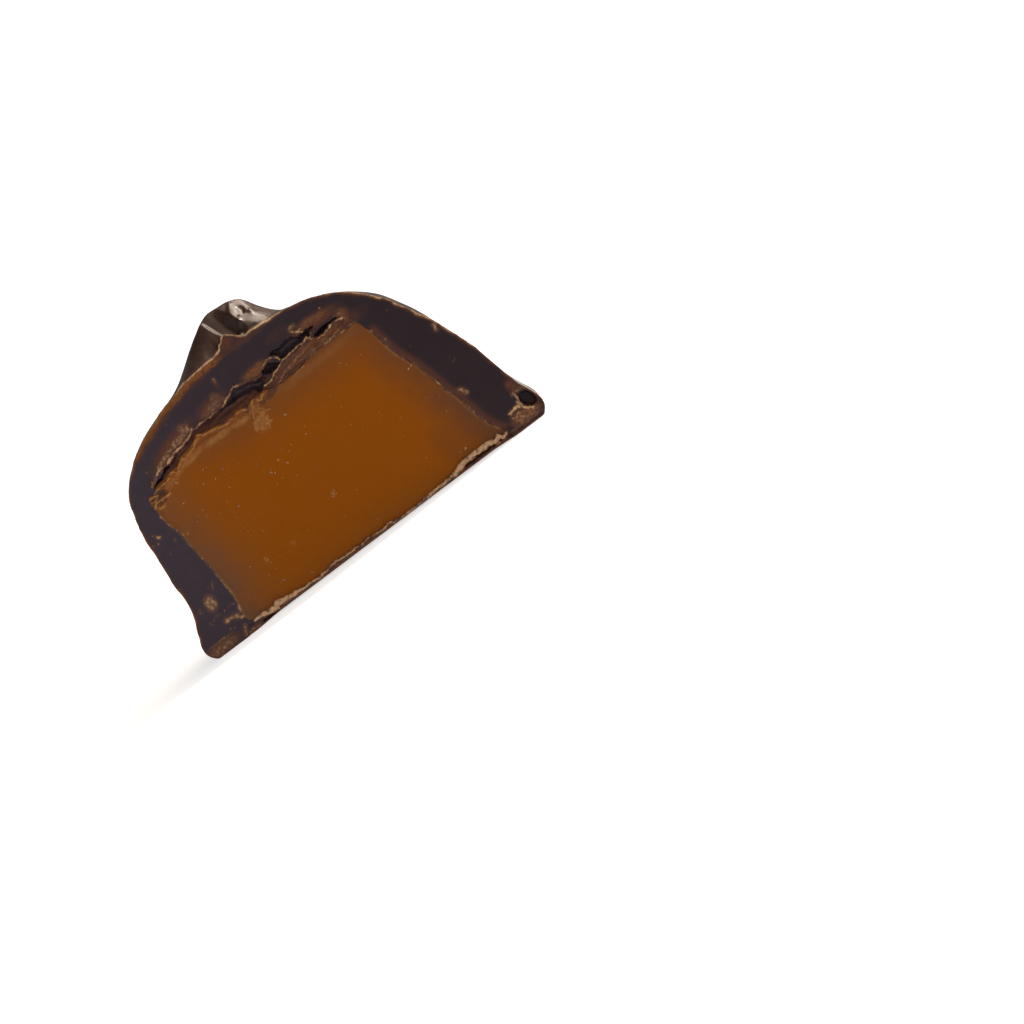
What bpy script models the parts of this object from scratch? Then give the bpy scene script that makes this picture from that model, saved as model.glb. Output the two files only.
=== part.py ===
# Half of a chocolate-coated salted caramel, as a knife leaves it: a thick
# hand-dipped coat with a pulled peak on its crown, and the caramel inside it.
# Metres, +Z up. The cut face looks along -Y and the base lies on Z = 0.

import math
import random

import bmesh
import bpy
from mathutils import Matrix, Vector, noise

MM = 0.001

FIT_GAP = 0.3 * MM  # play between the caramel and its coat

# Driving sizes of the coat in the cut, in mm
SIDE_REACH = 16.0  # middle of the cut to the tip of either foot
BACK_REACH = 16.5  # cut face to the back of the foot
SOLE_INSET = 0.7  # how far the sole's edge lies inside the foot's tip
TOE_HEIGHT = 1.1
CROWN_TOP = 18.45  # the dome's top, without the peak

# The coat's silhouette at the left, the right and the back, as points of
# (distance from the middle, height) in mm that stand for the same features:
# sole edge, toe, instep, ankle, wall, wall, shoulder, shoulder, shoulder, crown, apex
LEFT_PROFILE = (
    (SIDE_REACH - SOLE_INSET, 0.0), (SIDE_REACH, TOE_HEIGHT), (15.55, 2.6), (14.95, 4.3),
    (14.7, 7.7), (14.3, 11.6), (13.6, 13.9), (12.0, 15.55), (9.2, 17.0), (4.8, 18.1),
    (0.0, CROWN_TOP),
)
RIGHT_PROFILE = (
    (SIDE_REACH - SOLE_INSET, 0.0), (SIDE_REACH, TOE_HEIGHT), (15.45, 2.7), (14.95, 4.2),
    (14.15, 7.4), (12.95, 10.9), (11.8, 13.1), (10.3, 15.15), (7.9, 16.9), (4.2, 18.1),
    (0.0, CROWN_TOP),
)
BACK_PROFILE = (
    (BACK_REACH - SOLE_INSET, 0.0), (BACK_REACH, TOE_HEIGHT), (16.0, 2.6), (15.45, 4.3),
    (15.2, 7.6), (14.6, 11.0), (13.6, 13.1), (11.9, 14.8), (9.0, 16.3), (4.6, 17.7),
    (0.0, CROWN_TOP),
)
SPOKES = 56  # steps of the coat's surface round the back, foot to foot
RINGS_PER_SPAN = (3, 2, 2, 2, 3, 3, 3, 4, 8, 11)  # steps between the profiles' points
PLAN_SQUARENESS = 3.5  # superellipse power of the coat's plan at its walls
CROWN_ROUNDNESS = 2.0  # and the same power at its apex
FOOT_WANDER = 0.35 * MM  # how far the pooled foot strays from its line
WALL_WANDER = 0.22 * MM  # slow unevenness of the hand-dipped walls
WANDER_SCALE = 6.5 * MM

# The pulled peak on the crown: a mound with ridges, a dish, a pit and a tail, in mm.
# Its rise over the dome from left to right, and the share of it that is there at each depth
PEAK_RISE = (
    (-7.4, 0.0), (-6.3, 0.3), (-5.4, 0.75), (-4.2, 1.4), (-2.8, 2.1), (-1.35, 2.75),
    (-0.3, 3.0), (1.3, 3.0), (2.0, 2.65), (2.5, 1.95), (3.2, 1.15), (4.0, 0.4), (5.0, 0.0),
)
PEAK_SHARE = (
    (0.0, 0.04), (1.3, 0.38), (2.8, 0.86), (3.8, 1.0), (5.6, 1.0), (7.0, 0.62), (8.6, 0.2),
    (10.6, 0.0),
)
# each ridge or groove: start, end, half width and height at both ends, in mm
PEAK_STROKES = (
    ((-0.6, -0.8), (-1.35, 4.2), 0.5, 0.9, 0.25),
    ((1.1, 1.2), (1.5, 4.4), 0.45, 0.2, 0.25),
    ((0.2, 0.8), (0.1, 2.9), 0.75, -0.2, -0.6),
    ((2.1, 2.6), (2.3, 3.4), 0.4, -0.35, -0.5),
    ((-1.2, 5.4), (1.6, 9.6), 0.7, 0.75, 0.3),
    ((1.6, 9.6), (-1.8, 11.2), 0.7, 0.3, 0.12),
)

# The caramel's outline in the cut, corner by corner: (x, z, corner radius) in mm
CARAMEL_CORNERS = (
    (-11.54, 0.68, 0.45), (12.14, 0.68, 0.4), (8.21, 14.3, 0.9),
    (-12.37, 13.99, 3.0),
)
CARAMEL_DEPTH = 12.0 * MM
# how the block narrows and sinks towards its back: share of the depth, width and height
CARAMEL_STATIONS = (
    (0.5, 0.99, 0.985), (0.75, 0.955, 0.955), (0.9, 0.9, 0.92), (0.97, 0.85, 0.885),
    (1.0, 0.8, 0.85),
)

# The crack that the knife opened between the coat's ceiling and the caramel, in mm
CRACK_CEILING = (
    (-11.9, 13.3), (-9.9, 14.35), (-7.4, 15.0), (-5.2, 15.2), (-3.3, 15.65), (-1.8, 15.95),
    (-0.3, 15.95), (1.5, 16.1), (2.8, 16.35), (4.7, 16.1), (6.6, 15.55), (7.8, 15.2),
)
CRACK_FLOOR = (
    (-11.6, 12.9), (-9.5, 13.5), (-6.5, 13.9), (-3.0, 13.9), (-0.2, 14.5), (0.7, 15.0),
    (2.2, 15.35), (4.1, 15.5), (5.4, 15.05), (7.5, 15.0),
)
CRACK_DEPTH = 3.6 * MM
# how the crack narrows inwards: share of the depth, width and height
CRACK_STATIONS = ((0.4, 0.97, 0.9), (1.0, 0.88, 0.55))
RAGGEDNESS = 0.16 * MM  # how far the flakes along the crack stand out
FLAKE_LENGTH = 0.55 * MM

# The air bubble that the knife opened in the right foot
BUBBLE_PLACE = Vector((14.9, 0.0, 2.0)) * MM
BUBBLE_HALF_SIZE = Vector((0.5, 1.0, 0.65)) * MM

# Crumbs and flakes that the knife left on the coat's cut face, in mm, as clusters:
# (x, z, half spread across, half spread upward, how many, half size)
CRUMB_CLUSTERS = (
    (14.2, 1.35, 1.0, 0.75, 10, 0.3), (12.95, 10.1, 0.3, 0.7, 4, 0.24),
    (-14.0, 0.75, 1.1, 0.35, 8, 0.27), (-13.0, 1.95, 0.5, 0.3, 4, 0.2),
    (-13.3, 3.8, 0.05, 0.2, 2, 0.42), (11.7, 5.0, 0.0, 0.1, 1, 0.25),
    (-7.0, 15.6, 1.8, 0.35, 5, 0.26), (3.9, 17.0, 0.8, 0.3, 3, 0.24),
)
CRUMB_THICKNESS = 0.45  # share of a crumb's size that it stands out of the face
CRUMB_ROUGHNESS = 0.3
CRACK_FLAKES = 16  # flakes along the crack's upper lip
LIP_FLAKES = 9  # and along the lower lip's right half, above the caramel
FLAKE_HALF_SIZE = Vector((0.42, 0.16, 0.15)) * MM
FLAKE_OFFSET = 0.12 * MM

CUTTER_REACH = 1.5 * MM  # how far a cutter stands out of the cut face

SHARP_ANGLE = math.radians(40)  # edges bent more than this stay sharp
CHOCOLATE_COLOUR = (0.038, 0.025, 0.027, 1.0)
CARAMEL_COLOUR = (0.195, 0.05, 0.002, 1.0)


def clear_scene():
    for old in list(bpy.data.objects):
        bpy.data.objects.remove(old, do_unlink=True)


def material(name, colour, roughness):
    made = bpy.data.materials.new(name)
    made.use_nodes = True
    shader = made.node_tree.nodes["Principled BSDF"]
    shader.inputs["Base Color"].default_value = colour
    shader.inputs["Roughness"].default_value = roughness
    shader.inputs["Metallic"].default_value = 0.0
    return made


def new_object(name, bm):
    mesh = bpy.data.meshes.new(name)
    bmesh.ops.recalc_face_normals(bm, faces=bm.faces)
    bm.to_mesh(mesh)
    bm.free()
    made = bpy.data.objects.new(name, mesh)
    bpy.context.scene.collection.objects.link(made)
    return made


def smooth_point(points, place):
    """A point of the smooth curve through the points, at an index that may lie between two."""
    span = min(int(place), len(points) - 2)
    share = place - span
    before = points[max(span - 1, 0)]
    start, end = points[span], points[span + 1]
    after = points[min(span + 2, len(points) - 1)]
    return Vector(
        0.5 * (2 * b + (c - a) * share + (2 * a - 5 * b + 4 * c - d) * share**2
               + (3 * b - a - 3 * c + d) * share**3)
        for a, b, c, d in zip(before, start, end, after)
    )


def fade(value, low, high):
    """0 below low, 1 above high, and a smooth step between."""
    share = min(max((value - low) / (high - low), 0.0), 1.0)
    return share * share * (3 - 2 * share)


def stroke_height(x, y, stroke):
    start, end = Vector(stroke[0]) * MM, Vector(stroke[1]) * MM
    half_width, first, last = (value * MM for value in stroke[2:])
    along = end - start
    place = Vector((x, y)) - start
    share = min(max(place.dot(along) / along.length_squared, 0.0), 1.0)
    distance = (place - along * share).length
    return (first + (last - first) * share) * math.exp(-(distance / half_width) ** 2)


def read_off(points, value):
    """The second number of the points at a first number between theirs, level beyond the ends."""
    if value <= points[0][0]:
        return points[0][1]
    for (start, low), (end, high) in zip(points, points[1:]):
        if value <= end:
            return low + (high - low) * (value - start) / (end - start)
    return points[-1][1]


def peak_height(x, y):
    """What the pulled peak adds to the dome above that point of its plan."""
    mound = read_off(PEAK_RISE, x / MM) * read_off(PEAK_SHARE, y / MM) * MM
    return mound + sum(stroke_height(x, y, s) for s in PEAK_STROKES)


def plan_reach(angle, squareness):
    """How far a superellipse of unit half axes reaches at that angle."""
    across = abs(math.cos(angle)) ** squareness + abs(math.sin(angle)) ** squareness
    return across ** (-1 / squareness)


def coat_point(angle, place):
    """A point of the coat's outside: the angle runs from the right of the cut round the back."""
    side = RIGHT_PROFILE if math.cos(angle) > 0 else LEFT_PROFILE
    back_share = math.sin(angle) ** 2
    outline = smooth_point(side, place).lerp(smooth_point(BACK_PROFILE, place), back_share)
    crownward = fade(place, 6.0, 10.0)
    squareness = PLAN_SQUARENESS + (CROWN_ROUNDNESS - PLAN_SQUARENESS) * crownward
    reach = outline.x * MM * plan_reach(angle, squareness)
    height = outline.y * MM
    behind = fade(math.sin(angle), 0.0, 0.35)
    foot_share = 1 - fade(place, 1.0, 3.5)
    wander = FOOT_WANDER * foot_share * math.sin(5 * angle + 0.6) * math.sin(2 * angle)
    reach += wander * behind
    point = Vector((reach * math.cos(angle), reach * math.sin(angle), height))
    bulge = noise.noise(point / WANDER_SCALE) * WALL_WANDER * behind
    outward = Vector((math.cos(angle), math.sin(angle), 0.0))
    point += outward * bulge * (1 - crownward)
    point.z += bulge * crownward
    point.z += peak_height(point.x, point.y) * fade(place, 7.0, 8.2)
    return point


def ring_places():
    places = []
    for span, steps in enumerate(RINGS_PER_SPAN):
        places += [span + step / steps for step in range(steps)]
    return places


def coat_body():
    """The uncut-looking outside of the half, closed by its sole and the flat cut face."""
    bm = bmesh.new()
    angles = [math.pi * spoke / SPOKES for spoke in range(SPOKES + 1)]
    rings = [[bm.verts.new(coat_point(a, p)) for a in angles] for p in ring_places()]
    last_place = float(len(RINGS_PER_SPAN))
    apex = bm.verts.new(coat_point(math.pi / 2, last_place))
    for lower, upper in zip(rings, rings[1:]):
        for i in range(SPOKES):
            bm.faces.new((lower[i], lower[i + 1], upper[i + 1], upper[i]))
    for i in range(SPOKES):
        bm.faces.new((rings[-1][i], rings[-1][i + 1], apex))
    bm.faces.new(list(reversed(rings[0])))
    right_edge = [ring[0] for ring in rings]
    left_edge = [ring[-1] for ring in reversed(rings)]
    bm.faces.new(right_edge + [apex] + left_edge)
    return new_object("chocolate_coat", bm)


def rounded_outline(corners, outset):
    """A polygon whose corners are arcs, in metres, moved outwards by outset."""
    points = [Vector((x, z)) * MM for x, z, radius in corners]
    outline = []
    for i, corner in enumerate(points):
        radius = corners[i][2] * MM
        back = (points[i - 1] - corner).normalized()
        ahead = (points[(i + 1) % len(points)] - corner).normalized()
        half = back.angle(ahead) / 2
        middle = corner + (back + ahead).normalized() * (radius / math.sin(half))
        first = corner + back * (radius / math.tan(half)) - middle
        last = corner + ahead * (radius / math.tan(half)) - middle
        steps = max(2, round(math.degrees(math.pi - 2 * half) / 18))
        for step in range(steps + 1):
            spoke = first.lerp(last, step / steps).normalized()
            outline.append(middle + spoke * (radius + outset))
    return outline


def lofted_block(name, outline, foot, stations):
    """A closed solid through copies of an outline at each station's depth, shrunk towards its foot."""
    bm = bmesh.new()
    rings = []
    for y, across, upward in stations:
        ring = []
        for point in outline:
            x = foot.x + (point.x - foot.x) * across
            z = foot.y + (point.y - foot.y) * upward
            ring.append(bm.verts.new((x, y, z)))
        rings.append(ring)
    count = len(outline)
    for near, far in zip(rings, rings[1:]):
        for i in range(count):
            j = (i + 1) % count
            bm.faces.new((near[i], near[j], far[j], far[i]))
    bm.faces.new(list(reversed(rings[0])))
    bm.faces.new(rings[-1])
    return new_object(name, bm)


def caramel_block(name, outset, front):
    outline = rounded_outline(CARAMEL_CORNERS, outset)
    foot = Vector((0.0, min(point.y for point in outline)))
    depth = CARAMEL_DEPTH + outset
    stations = [(front, 1.0, 1.0)]
    stations += [(share * depth, across, upward) for share, across, upward in CARAMEL_STATIONS]
    return lofted_block(name, outline, foot, stations)


def ragged_line(points, steps_seed, outwards):
    """A smooth line with small torn flakes along it, as evenly spaced points in metres."""
    draw = random.Random(steps_seed)
    rough = [smooth_point(points, i / 12) * MM for i in range(12 * (len(points) - 1) + 1)]
    line = [rough[0]]
    for point in rough[1:]:
        if (point - line[-1]).length >= FLAKE_LENGTH * draw.uniform(0.7, 1.3):
            line.append(point)
    for i in range(1, len(line) - 1):
        line[i] = line[i] + Vector((0.0, outwards * RAGGEDNESS * draw.uniform(-1, 1)))
    return line


def crack_cutter():
    floor = ragged_line(CRACK_FLOOR, 11, -1)
    ceiling = ragged_line(CRACK_CEILING, 12, 1)
    outline = floor + list(reversed(ceiling))
    middle = sum(outline, Vector((0.0, 0.0))) / len(outline)
    stations = [(-CUTTER_REACH, 1.0, 1.0)]
    stations += [(share * CRACK_DEPTH, across, upward) for share, across, upward in CRACK_STATIONS]
    return lofted_block("crack_cutter", outline, middle, stations)


def bubble_cutter():
    bm = bmesh.new()
    bmesh.ops.create_icosphere(bm, subdivisions=2, radius=1.0)
    bmesh.ops.scale(bm, vec=BUBBLE_HALF_SIZE, verts=bm.verts)
    bmesh.ops.translate(bm, vec=BUBBLE_PLACE, verts=bm.verts)
    return new_object("bubble_cutter", bm)


def lump(place, half_size, turn, draw):
    """A rough crumb sunk half into the cut face at an (x, z) place, turned about Y."""
    bm = bmesh.new()
    bmesh.ops.create_icosphere(bm, subdivisions=1, radius=1.0)
    for vertex in bm.verts:
        vertex.co *= 1 + CRUMB_ROUGHNESS * draw.uniform(-1, 1)
    bmesh.ops.scale(bm, vec=half_size, verts=bm.verts)
    bmesh.ops.rotate(bm, matrix=Matrix.Rotation(turn, 3, "Y"), verts=bm.verts)
    bmesh.ops.translate(bm, vec=(place.x, 0.0, place.y), verts=bm.verts)
    return new_object("crumb", bm)


def crumbs():
    draw = random.Random(21)
    made = []
    for x, z, across, upward, count, size in CRUMB_CLUSTERS:
        for _ in range(count):
            place = Vector((x + across * draw.uniform(-1, 1), z + upward * draw.uniform(-1, 1)))
            reach = size * draw.uniform(0.6, 1.2)
            half_size = Vector((reach * 1.2, reach * CRUMB_THICKNESS, reach)) * MM
            made.append(lump(place * MM, half_size, draw.uniform(0, math.pi), draw))
    return made


def lip_flakes(line, first, last, count, upwards, seed):
    """Flakes that lie along one lip of the crack, between two of its points."""
    draw = random.Random(seed)
    made = []
    for step in range(count):
        place = first + (last - first) * (step + draw.uniform(0.2, 0.8)) / count
        here, ahead = smooth_point(line, place) * MM, smooth_point(line, place + 0.05) * MM
        slope = math.atan2(ahead.y - here.y, ahead.x - here.x)
        here.y += upwards * FLAKE_OFFSET
        half_size = FLAKE_HALF_SIZE * draw.uniform(0.7, 1.25)
        made.append(lump(here, half_size, -slope + draw.uniform(-0.25, 0.25), draw))
    return made


def fuse(body, pieces):
    """Joins the pieces to the body in one Boolean union, applied."""
    group = bpy.data.collections.new("pieces")
    for piece in pieces:
        group.objects.link(piece)
    union = body.modifiers.new("union", "BOOLEAN")
    union.operation = "UNION"
    union.solver = "MANIFOLD"
    union.operand_type = "COLLECTION"
    union.collection = group
    bpy.context.view_layer.objects.active = body
    bpy.ops.object.modifier_apply(modifier=union.name)
    for piece in pieces:
        bpy.data.objects.remove(piece, do_unlink=True)
    bpy.data.collections.remove(group)


def cut_from(body, cutter):
    cutter.hide_render = True
    cutter.display_type = "WIRE"
    cut = body.modifiers.new(cutter.name, "BOOLEAN")
    cut.operation = "DIFFERENCE"
    cut.solver = "EXACT"
    cut.object = cutter


def finish(made, surface):
    """Gives the object its material and shades it smooth up to its edges."""
    made.data.materials.append(surface)
    made.data.shade_smooth()
    made.data.set_sharp_from_angle(angle=SHARP_ANGLE)


def stand_over_origin(objects):
    """Moves the meshes so that the sole lies on Z = 0 with the half's middle over the origin."""
    corners = [Vector(c) for c in objects[0].bound_box]
    middle = (corners[0] + corners[6]) / 2
    for made in objects:
        for vertex in made.data.vertices:
            vertex.co -= Vector((middle.x, middle.y, corners[0].z))


def main():
    clear_scene()
    coat = coat_body()
    upper_flakes = lip_flakes(CRACK_CEILING, 0.6, 10.6, CRACK_FLAKES, 1, 31)
    lower_flakes = lip_flakes(CRACK_FLOOR, 4.8, 8.6, LIP_FLAKES, -1, 32)
    fuse(coat, crumbs() + upper_flakes + lower_flakes)
    caramel = caramel_block("caramel_filling", -FIT_GAP / 2, 0.0)
    cavity = caramel_block("caramel_cutter", FIT_GAP / 2, -CUTTER_REACH)
    crack = crack_cutter()
    bubble = bubble_cutter()
    stand_over_origin([coat, caramel, cavity, crack, bubble])
    for cutter in (cavity, crack, bubble):
        cut_from(coat, cutter)
    finish(coat, material("dark_chocolate", CHOCOLATE_COLOUR, 0.42))
    finish(caramel, material("salted_caramel", CARAMEL_COLOUR, 0.35))


main()
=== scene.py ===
import math
import random

import bpy
import numpy as np
from mathutils import Matrix, Vector, noise
from mathutils.kdtree import KDTree


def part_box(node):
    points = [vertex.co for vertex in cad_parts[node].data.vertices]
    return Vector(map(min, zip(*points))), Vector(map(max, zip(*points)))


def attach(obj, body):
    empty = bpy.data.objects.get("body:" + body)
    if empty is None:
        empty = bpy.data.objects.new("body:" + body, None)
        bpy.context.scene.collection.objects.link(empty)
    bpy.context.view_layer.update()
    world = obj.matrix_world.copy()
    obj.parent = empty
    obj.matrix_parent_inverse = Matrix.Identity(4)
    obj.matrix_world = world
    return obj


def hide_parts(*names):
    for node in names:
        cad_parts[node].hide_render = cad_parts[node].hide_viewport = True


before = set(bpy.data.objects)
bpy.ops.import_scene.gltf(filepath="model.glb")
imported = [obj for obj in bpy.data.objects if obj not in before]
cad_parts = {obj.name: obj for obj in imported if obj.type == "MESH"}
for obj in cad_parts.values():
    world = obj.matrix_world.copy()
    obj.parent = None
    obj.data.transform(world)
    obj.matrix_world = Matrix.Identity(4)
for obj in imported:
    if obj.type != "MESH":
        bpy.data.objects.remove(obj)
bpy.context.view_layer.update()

mm = 0.001

# The cut plane's own frame: x to the right from the candy's middle, z up from the table, both in mm.
# Its place in the scene is read off the caramel, whose left wall and front face lie at known places.
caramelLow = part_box("caramel_filling")[0]
cutFrame = {"caramelLeft": -12.0245, "y": caramelLow.y}
cutFrame["x"] = caramelLow.x - cutFrame["caramelLeft"] * mm


def report(stage):
    print("stage:", stage, flush=True)


# Small helpers for working by operators

def selectOnly(obj):
    bpy.ops.object.select_all(action="DESELECT")
    obj.select_set(True)
    bpy.context.view_layer.objects.active = obj


def lastMade(name):
    obj = bpy.context.object
    obj.name = name
    obj.data.name = name
    return obj


def applied(obj, kind, **settings):
    selectOnly(obj)
    modifier = obj.modifiers.new(kind.lower(), kind)
    for key, value in settings.items():
        setattr(modifier, key, value)
    bpy.ops.object.modifier_apply(modifier=modifier.name)


def carve(obj, cutter):
    applied(obj, "BOOLEAN", operation="DIFFERENCE", solver="MANIFOLD", object=cutter)
    bpy.data.objects.remove(cutter, do_unlink=True)


def settled(obj, sliver=0.001):  # edges shorter than a sliver, which the cuts leave, are dissolved
    selectOnly(obj)
    bpy.ops.object.mode_set(mode="EDIT")
    bpy.ops.mesh.select_all(action="SELECT")
    bpy.ops.mesh.dissolve_degenerate(threshold=sliver * mm)
    bpy.ops.mesh.delete_loose()
    bpy.ops.object.mode_set(mode="OBJECT")


def facedOutwards():  # ends edit mode
    bpy.ops.mesh.select_all(action="SELECT")
    bpy.ops.mesh.normals_make_consistent(inside=False)
    bpy.ops.object.mode_set(mode="OBJECT")


def coordinates(obj):
    flat = np.empty(len(obj.data.vertices) * 3)
    obj.data.vertices.foreach_get("co", flat)
    return flat.reshape(-1, 3)


def setCoordinates(obj, places):
    obj.data.vertices.foreach_set("co", places.ravel())
    obj.data.update()


def selectFaces(obj, test):  # leaves edit mode on, with just the faces that pass the test selected
    selectOnly(obj)
    bpy.ops.object.mode_set(mode="EDIT")
    bpy.ops.mesh.select_mode(type="FACE")
    bpy.ops.mesh.select_all(action="DESELECT")
    bpy.ops.object.mode_set(mode="OBJECT")
    for face in obj.data.polygons:
        face.select = test(face)
    bpy.ops.object.mode_set(mode="EDIT")


def grain(x, z, size, seed, octaves=1):  # soft noise of about -1 to 1, with waves of that size
    total = np.zeros(x.shape)
    for octave in range(octaves):
        step = 2 ** octave / size
        layer = [noise.noise((a, b, seed + 7.3 * octave)) for a, b in zip(x * step, z * step)]
        total += np.array(layer) / 2 ** octave
    return total


def ease(value, low, high):  # 0 below low, 1 above high, smooth between
    share = np.clip((value - low) / (high - low), 0, 1)
    return share * share * (3 - 2 * share)


def lineDistance(x, z, line):
    best = np.full(x.shape, 99.0)
    for (ax, az), (bx, bz) in zip(line, line[1:]):
        dx, dz = bx - ax, bz - az
        share = np.clip(((x - ax) * dx + (z - az) * dz) / (dx * dx + dz * dz), 0, 1)
        best = np.minimum(best, np.hypot(x - ax - share * dx, z - az - share * dz))
    return best


def nearBox(x, z, points, reach):
    xs, zs = [p[0] for p in points], [p[1] for p in points]
    across = (x > min(xs) - reach) & (x < max(xs) + reach)
    return across & (z > min(zs) - reach) & (z < max(zs) + reach)


def ridge(x, z, line, width):  # 1 along the line, falling off over about the width
    near = nearBox(x, z, line, 3 * width)
    out = np.zeros(x.shape)
    if near.any():
        out[near] = np.exp(-(lineDistance(x[near], z[near], line) / width) ** 2)
    return out


def insideBy(x, z, outline, reach=1.5):  # distance inside a closed outline, negative outside it
    closed = list(outline) + [outline[0]]
    near = nearBox(x, z, outline, reach)
    out = np.full(x.shape, -reach)
    if not near.any():
        return out
    px, pz = x[near], z[near]
    within = np.zeros(px.shape, bool)
    for (ax, az), (bx, bz) in zip(closed, closed[1:]):
        if az != bz:
            within ^= ((az > pz) != (bz > pz)) & (px < (bx - ax) * (pz - az) / (bz - az) + ax)
    distance = lineDistance(px, pz, closed)
    out[near] = np.where(within, distance, -distance)
    return out


def smoothPoint(points, place):  # a point of the smooth curve through the points
    span = min(int(place), len(points) - 2)
    share = place - span
    before, start = points[max(span - 1, 0)], points[span]
    end, after = points[span + 1], points[min(span + 2, len(points) - 1)]
    return [
        0.5 * (2 * b + (c - a) * share + (2 * a - 5 * b + 4 * c - d) * share ** 2
               + (3 * b - a - 3 * c + d) * share ** 3)
        for a, b, c, d in zip(before, start, end, after)
    ]


def smoothLine(points, steps):
    count = (len(points) - 1) * steps
    return [tuple(smoothPoint(points, i / steps)) for i in range(count + 1)]


# The coat: a hand-dipped dome wrapped from a grid, closed in front and remeshed evenly

coat = {
    "left": ((15.2, 0.0), (16.0, 1.15), (15.45, 2.6), (14.85, 4.3), (14.65, 7.7), (14.2, 11.6),
             (13.42, 13.9), (11.83, 15.55), (9.2, 17.03), (4.6, 18.3), (0.0, 18.5)),
    "right": ((15.2, 0.0), (16.0, 1.1), (15.45, 2.7), (14.97, 4.2), (14.2, 7.4), (12.92, 10.9),
              (11.7, 13.1), (10.3, 15.15), (8.0, 17.08), (4.4, 18.2), (0.0, 18.5)),
    "back": ((15.8, 0.0), (16.5, 1.1), (16.0, 2.6), (15.45, 4.3), (15.2, 7.6), (14.6, 11.0),
             (13.6, 13.1), (11.9, 14.8), (9.0, 16.3), (4.6, 17.7), (0.0, 18.45)),
    "spokes": 150,
    "rings": 110,
    "squareness": 3.5,
    "crownRoundness": 2.0,
    "footWander": 0.35,
    "wallWander": 0.22,
    "wanderSize": 6.5,
    "frontReach": 1.6,  # how far the blank stands in front of the cut before the knife takes it off
    "voxel": 0.27,
    "drawIn": 0.14,  # how far the wall draws in just behind the cut
    "sole": (0.09, 0.25),  # what lies below the first height is flat, and the second is the toe's softening
    "soleLift": 0.13,  # how far the sole stands off the table along the cut
    "ripples": ((2.3, 0.035), (0.7, 0.012)),  # size and height
    "chips": {"coarse": 0.75, "fine": 0.34, "clusters": 2.4, "depth": 0.13},
    # small breaks along the edge of the cut: x, z, reach, depth
    "notches": ((-8.4, 17.1, 0.35, 0.1), (-10.4, 16.25, 0.35, 0.12), (-12.0, 15.4, 0.3, 0.12),
                (-12.95, 14.3, 0.35, 0.14), (-13.9, 12.6, 0.3, 0.08), (-5.8, 17.95, 0.25, 0.08),
                (-14.7, 9.2, 0.3, 0.06), (-14.7, 5.6, 0.4, 0.07), (-15.6, 1.9, 0.3, 0.08),
                (8.4, 16.6, 0.3, 0.06), (10.2, 15.1, 0.3, 0.07), (12.4, 11.9, 0.35, 0.1),
                (13.3, 9.6, 0.4, 0.08), (13.9, 7.8, 0.3, 0.07), (15.2, 3.1, 0.35, 0.08)),
}

# The pulled peak: its outline from left to right as seen from the cut, the little crest that the
# cut runs through, how each part of its front climbs, and its folds, dimples and beads
peak = {
    "outline": ((-5.9, 17.72), (-4.8, 18.42), (-3.7, 19.15), (-2.56, 19.97), (-1.64, 20.6), (-1.24, 20.84),
                (-0.83, 21.03), (-0.33, 21.13), (0.38, 21.07), (1.04, 21.0), (1.5, 20.86), (1.95, 20.66),
                (2.4, 20.24), (2.92, 19.34), (3.42, 18.6), (3.95, 18.0)),
    "ends": (-6.7, 4.6),  # where it has died away at the left and the right
    "fullDepth": 4.4,
    "crest": ((-2.3, 0.0), (-1.75, 0.08), (-1.55, 0.16), (-1.35, 0.42), (-1.05, 0.5), (-0.85, 0.78),
              (-0.6, 0.98), (-0.3, 0.74), (0.0, 0.5), (0.35, 0.18), (0.7, -0.06), (1.2, -0.02), (1.8, 0.0)),
    "crestFade": 0.6,
    "climb": 3.7,  # depth at which the front has reached the outline
    # across from the crest's line: the power of the climb, 1 is flat, more is hollow, less is full
    "powers": ((-4.0, 1.05), (-0.06, 1.0), (0.08, 1.85), (1.0, 1.75), (1.35, 1.2), (1.65, 0.82), (3.0, 0.9),
               (6.0, 1.0)),
    "lean": 0.5,  # how far the right flank comes in towards the cut
    "back": ((5.2, 1.0), (5.8, 0.95), (6.5, 0.8), (7.2, 0.58), (8.0, 0.34), (8.8, 0.16), (9.8, 0.04),
             (10.8, 0.0)),
    # start, end, half width, height at the start and at the end
    "strokes": (
        ((0.75, 0.4), (1.1, 2.4), 0.26, 0.1, 0.14),
        ((1.35, 2.2), (1.35, 3.4), 0.24, 0.09, 0.06),
        ((1.72, 1.75), (1.84, 2.25), 0.23, -0.36, -0.3),
        ((2.4, 1.2), (2.5, 1.7), 0.32, 0.16, 0.15),
        ((1.2, 0.85), (1.25, 0.95), 0.16, 0.32, 0.32),
        ((2.38, 1.4), (2.42, 1.5), 0.15, 0.22, 0.22),
        ((1.25, 2.7), (1.4, 3.0), 0.13, 0.16, 0.16),
        ((1.55, 1.4), (1.57, 1.5), 0.12, 0.14, 0.14),
        ((-3.6, 0.7), (-2.6, 0.6), 0.35, 0.07, 0.04),
        ((-0.6, 6.4), (1.7, 9.4), 0.65, 0.08, 0.32),
        ((1.7, 9.4), (-1.8, 11.0), 0.65, 0.32, 0.1),
        ((0.6, 6.4), (2.4, 8.0), 0.5, -0.08, -0.15),
    ),
    "reach": (-7.6, 5.4, 12.0),  # left end, right end and rear end of the fine part of the crown
    "tip": (-3.2, 4.4, -0.6, 6.4),  # left, right, front and rear of the finest part
    "above": 14.5,  # only what lies above this height is raised
}


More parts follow.
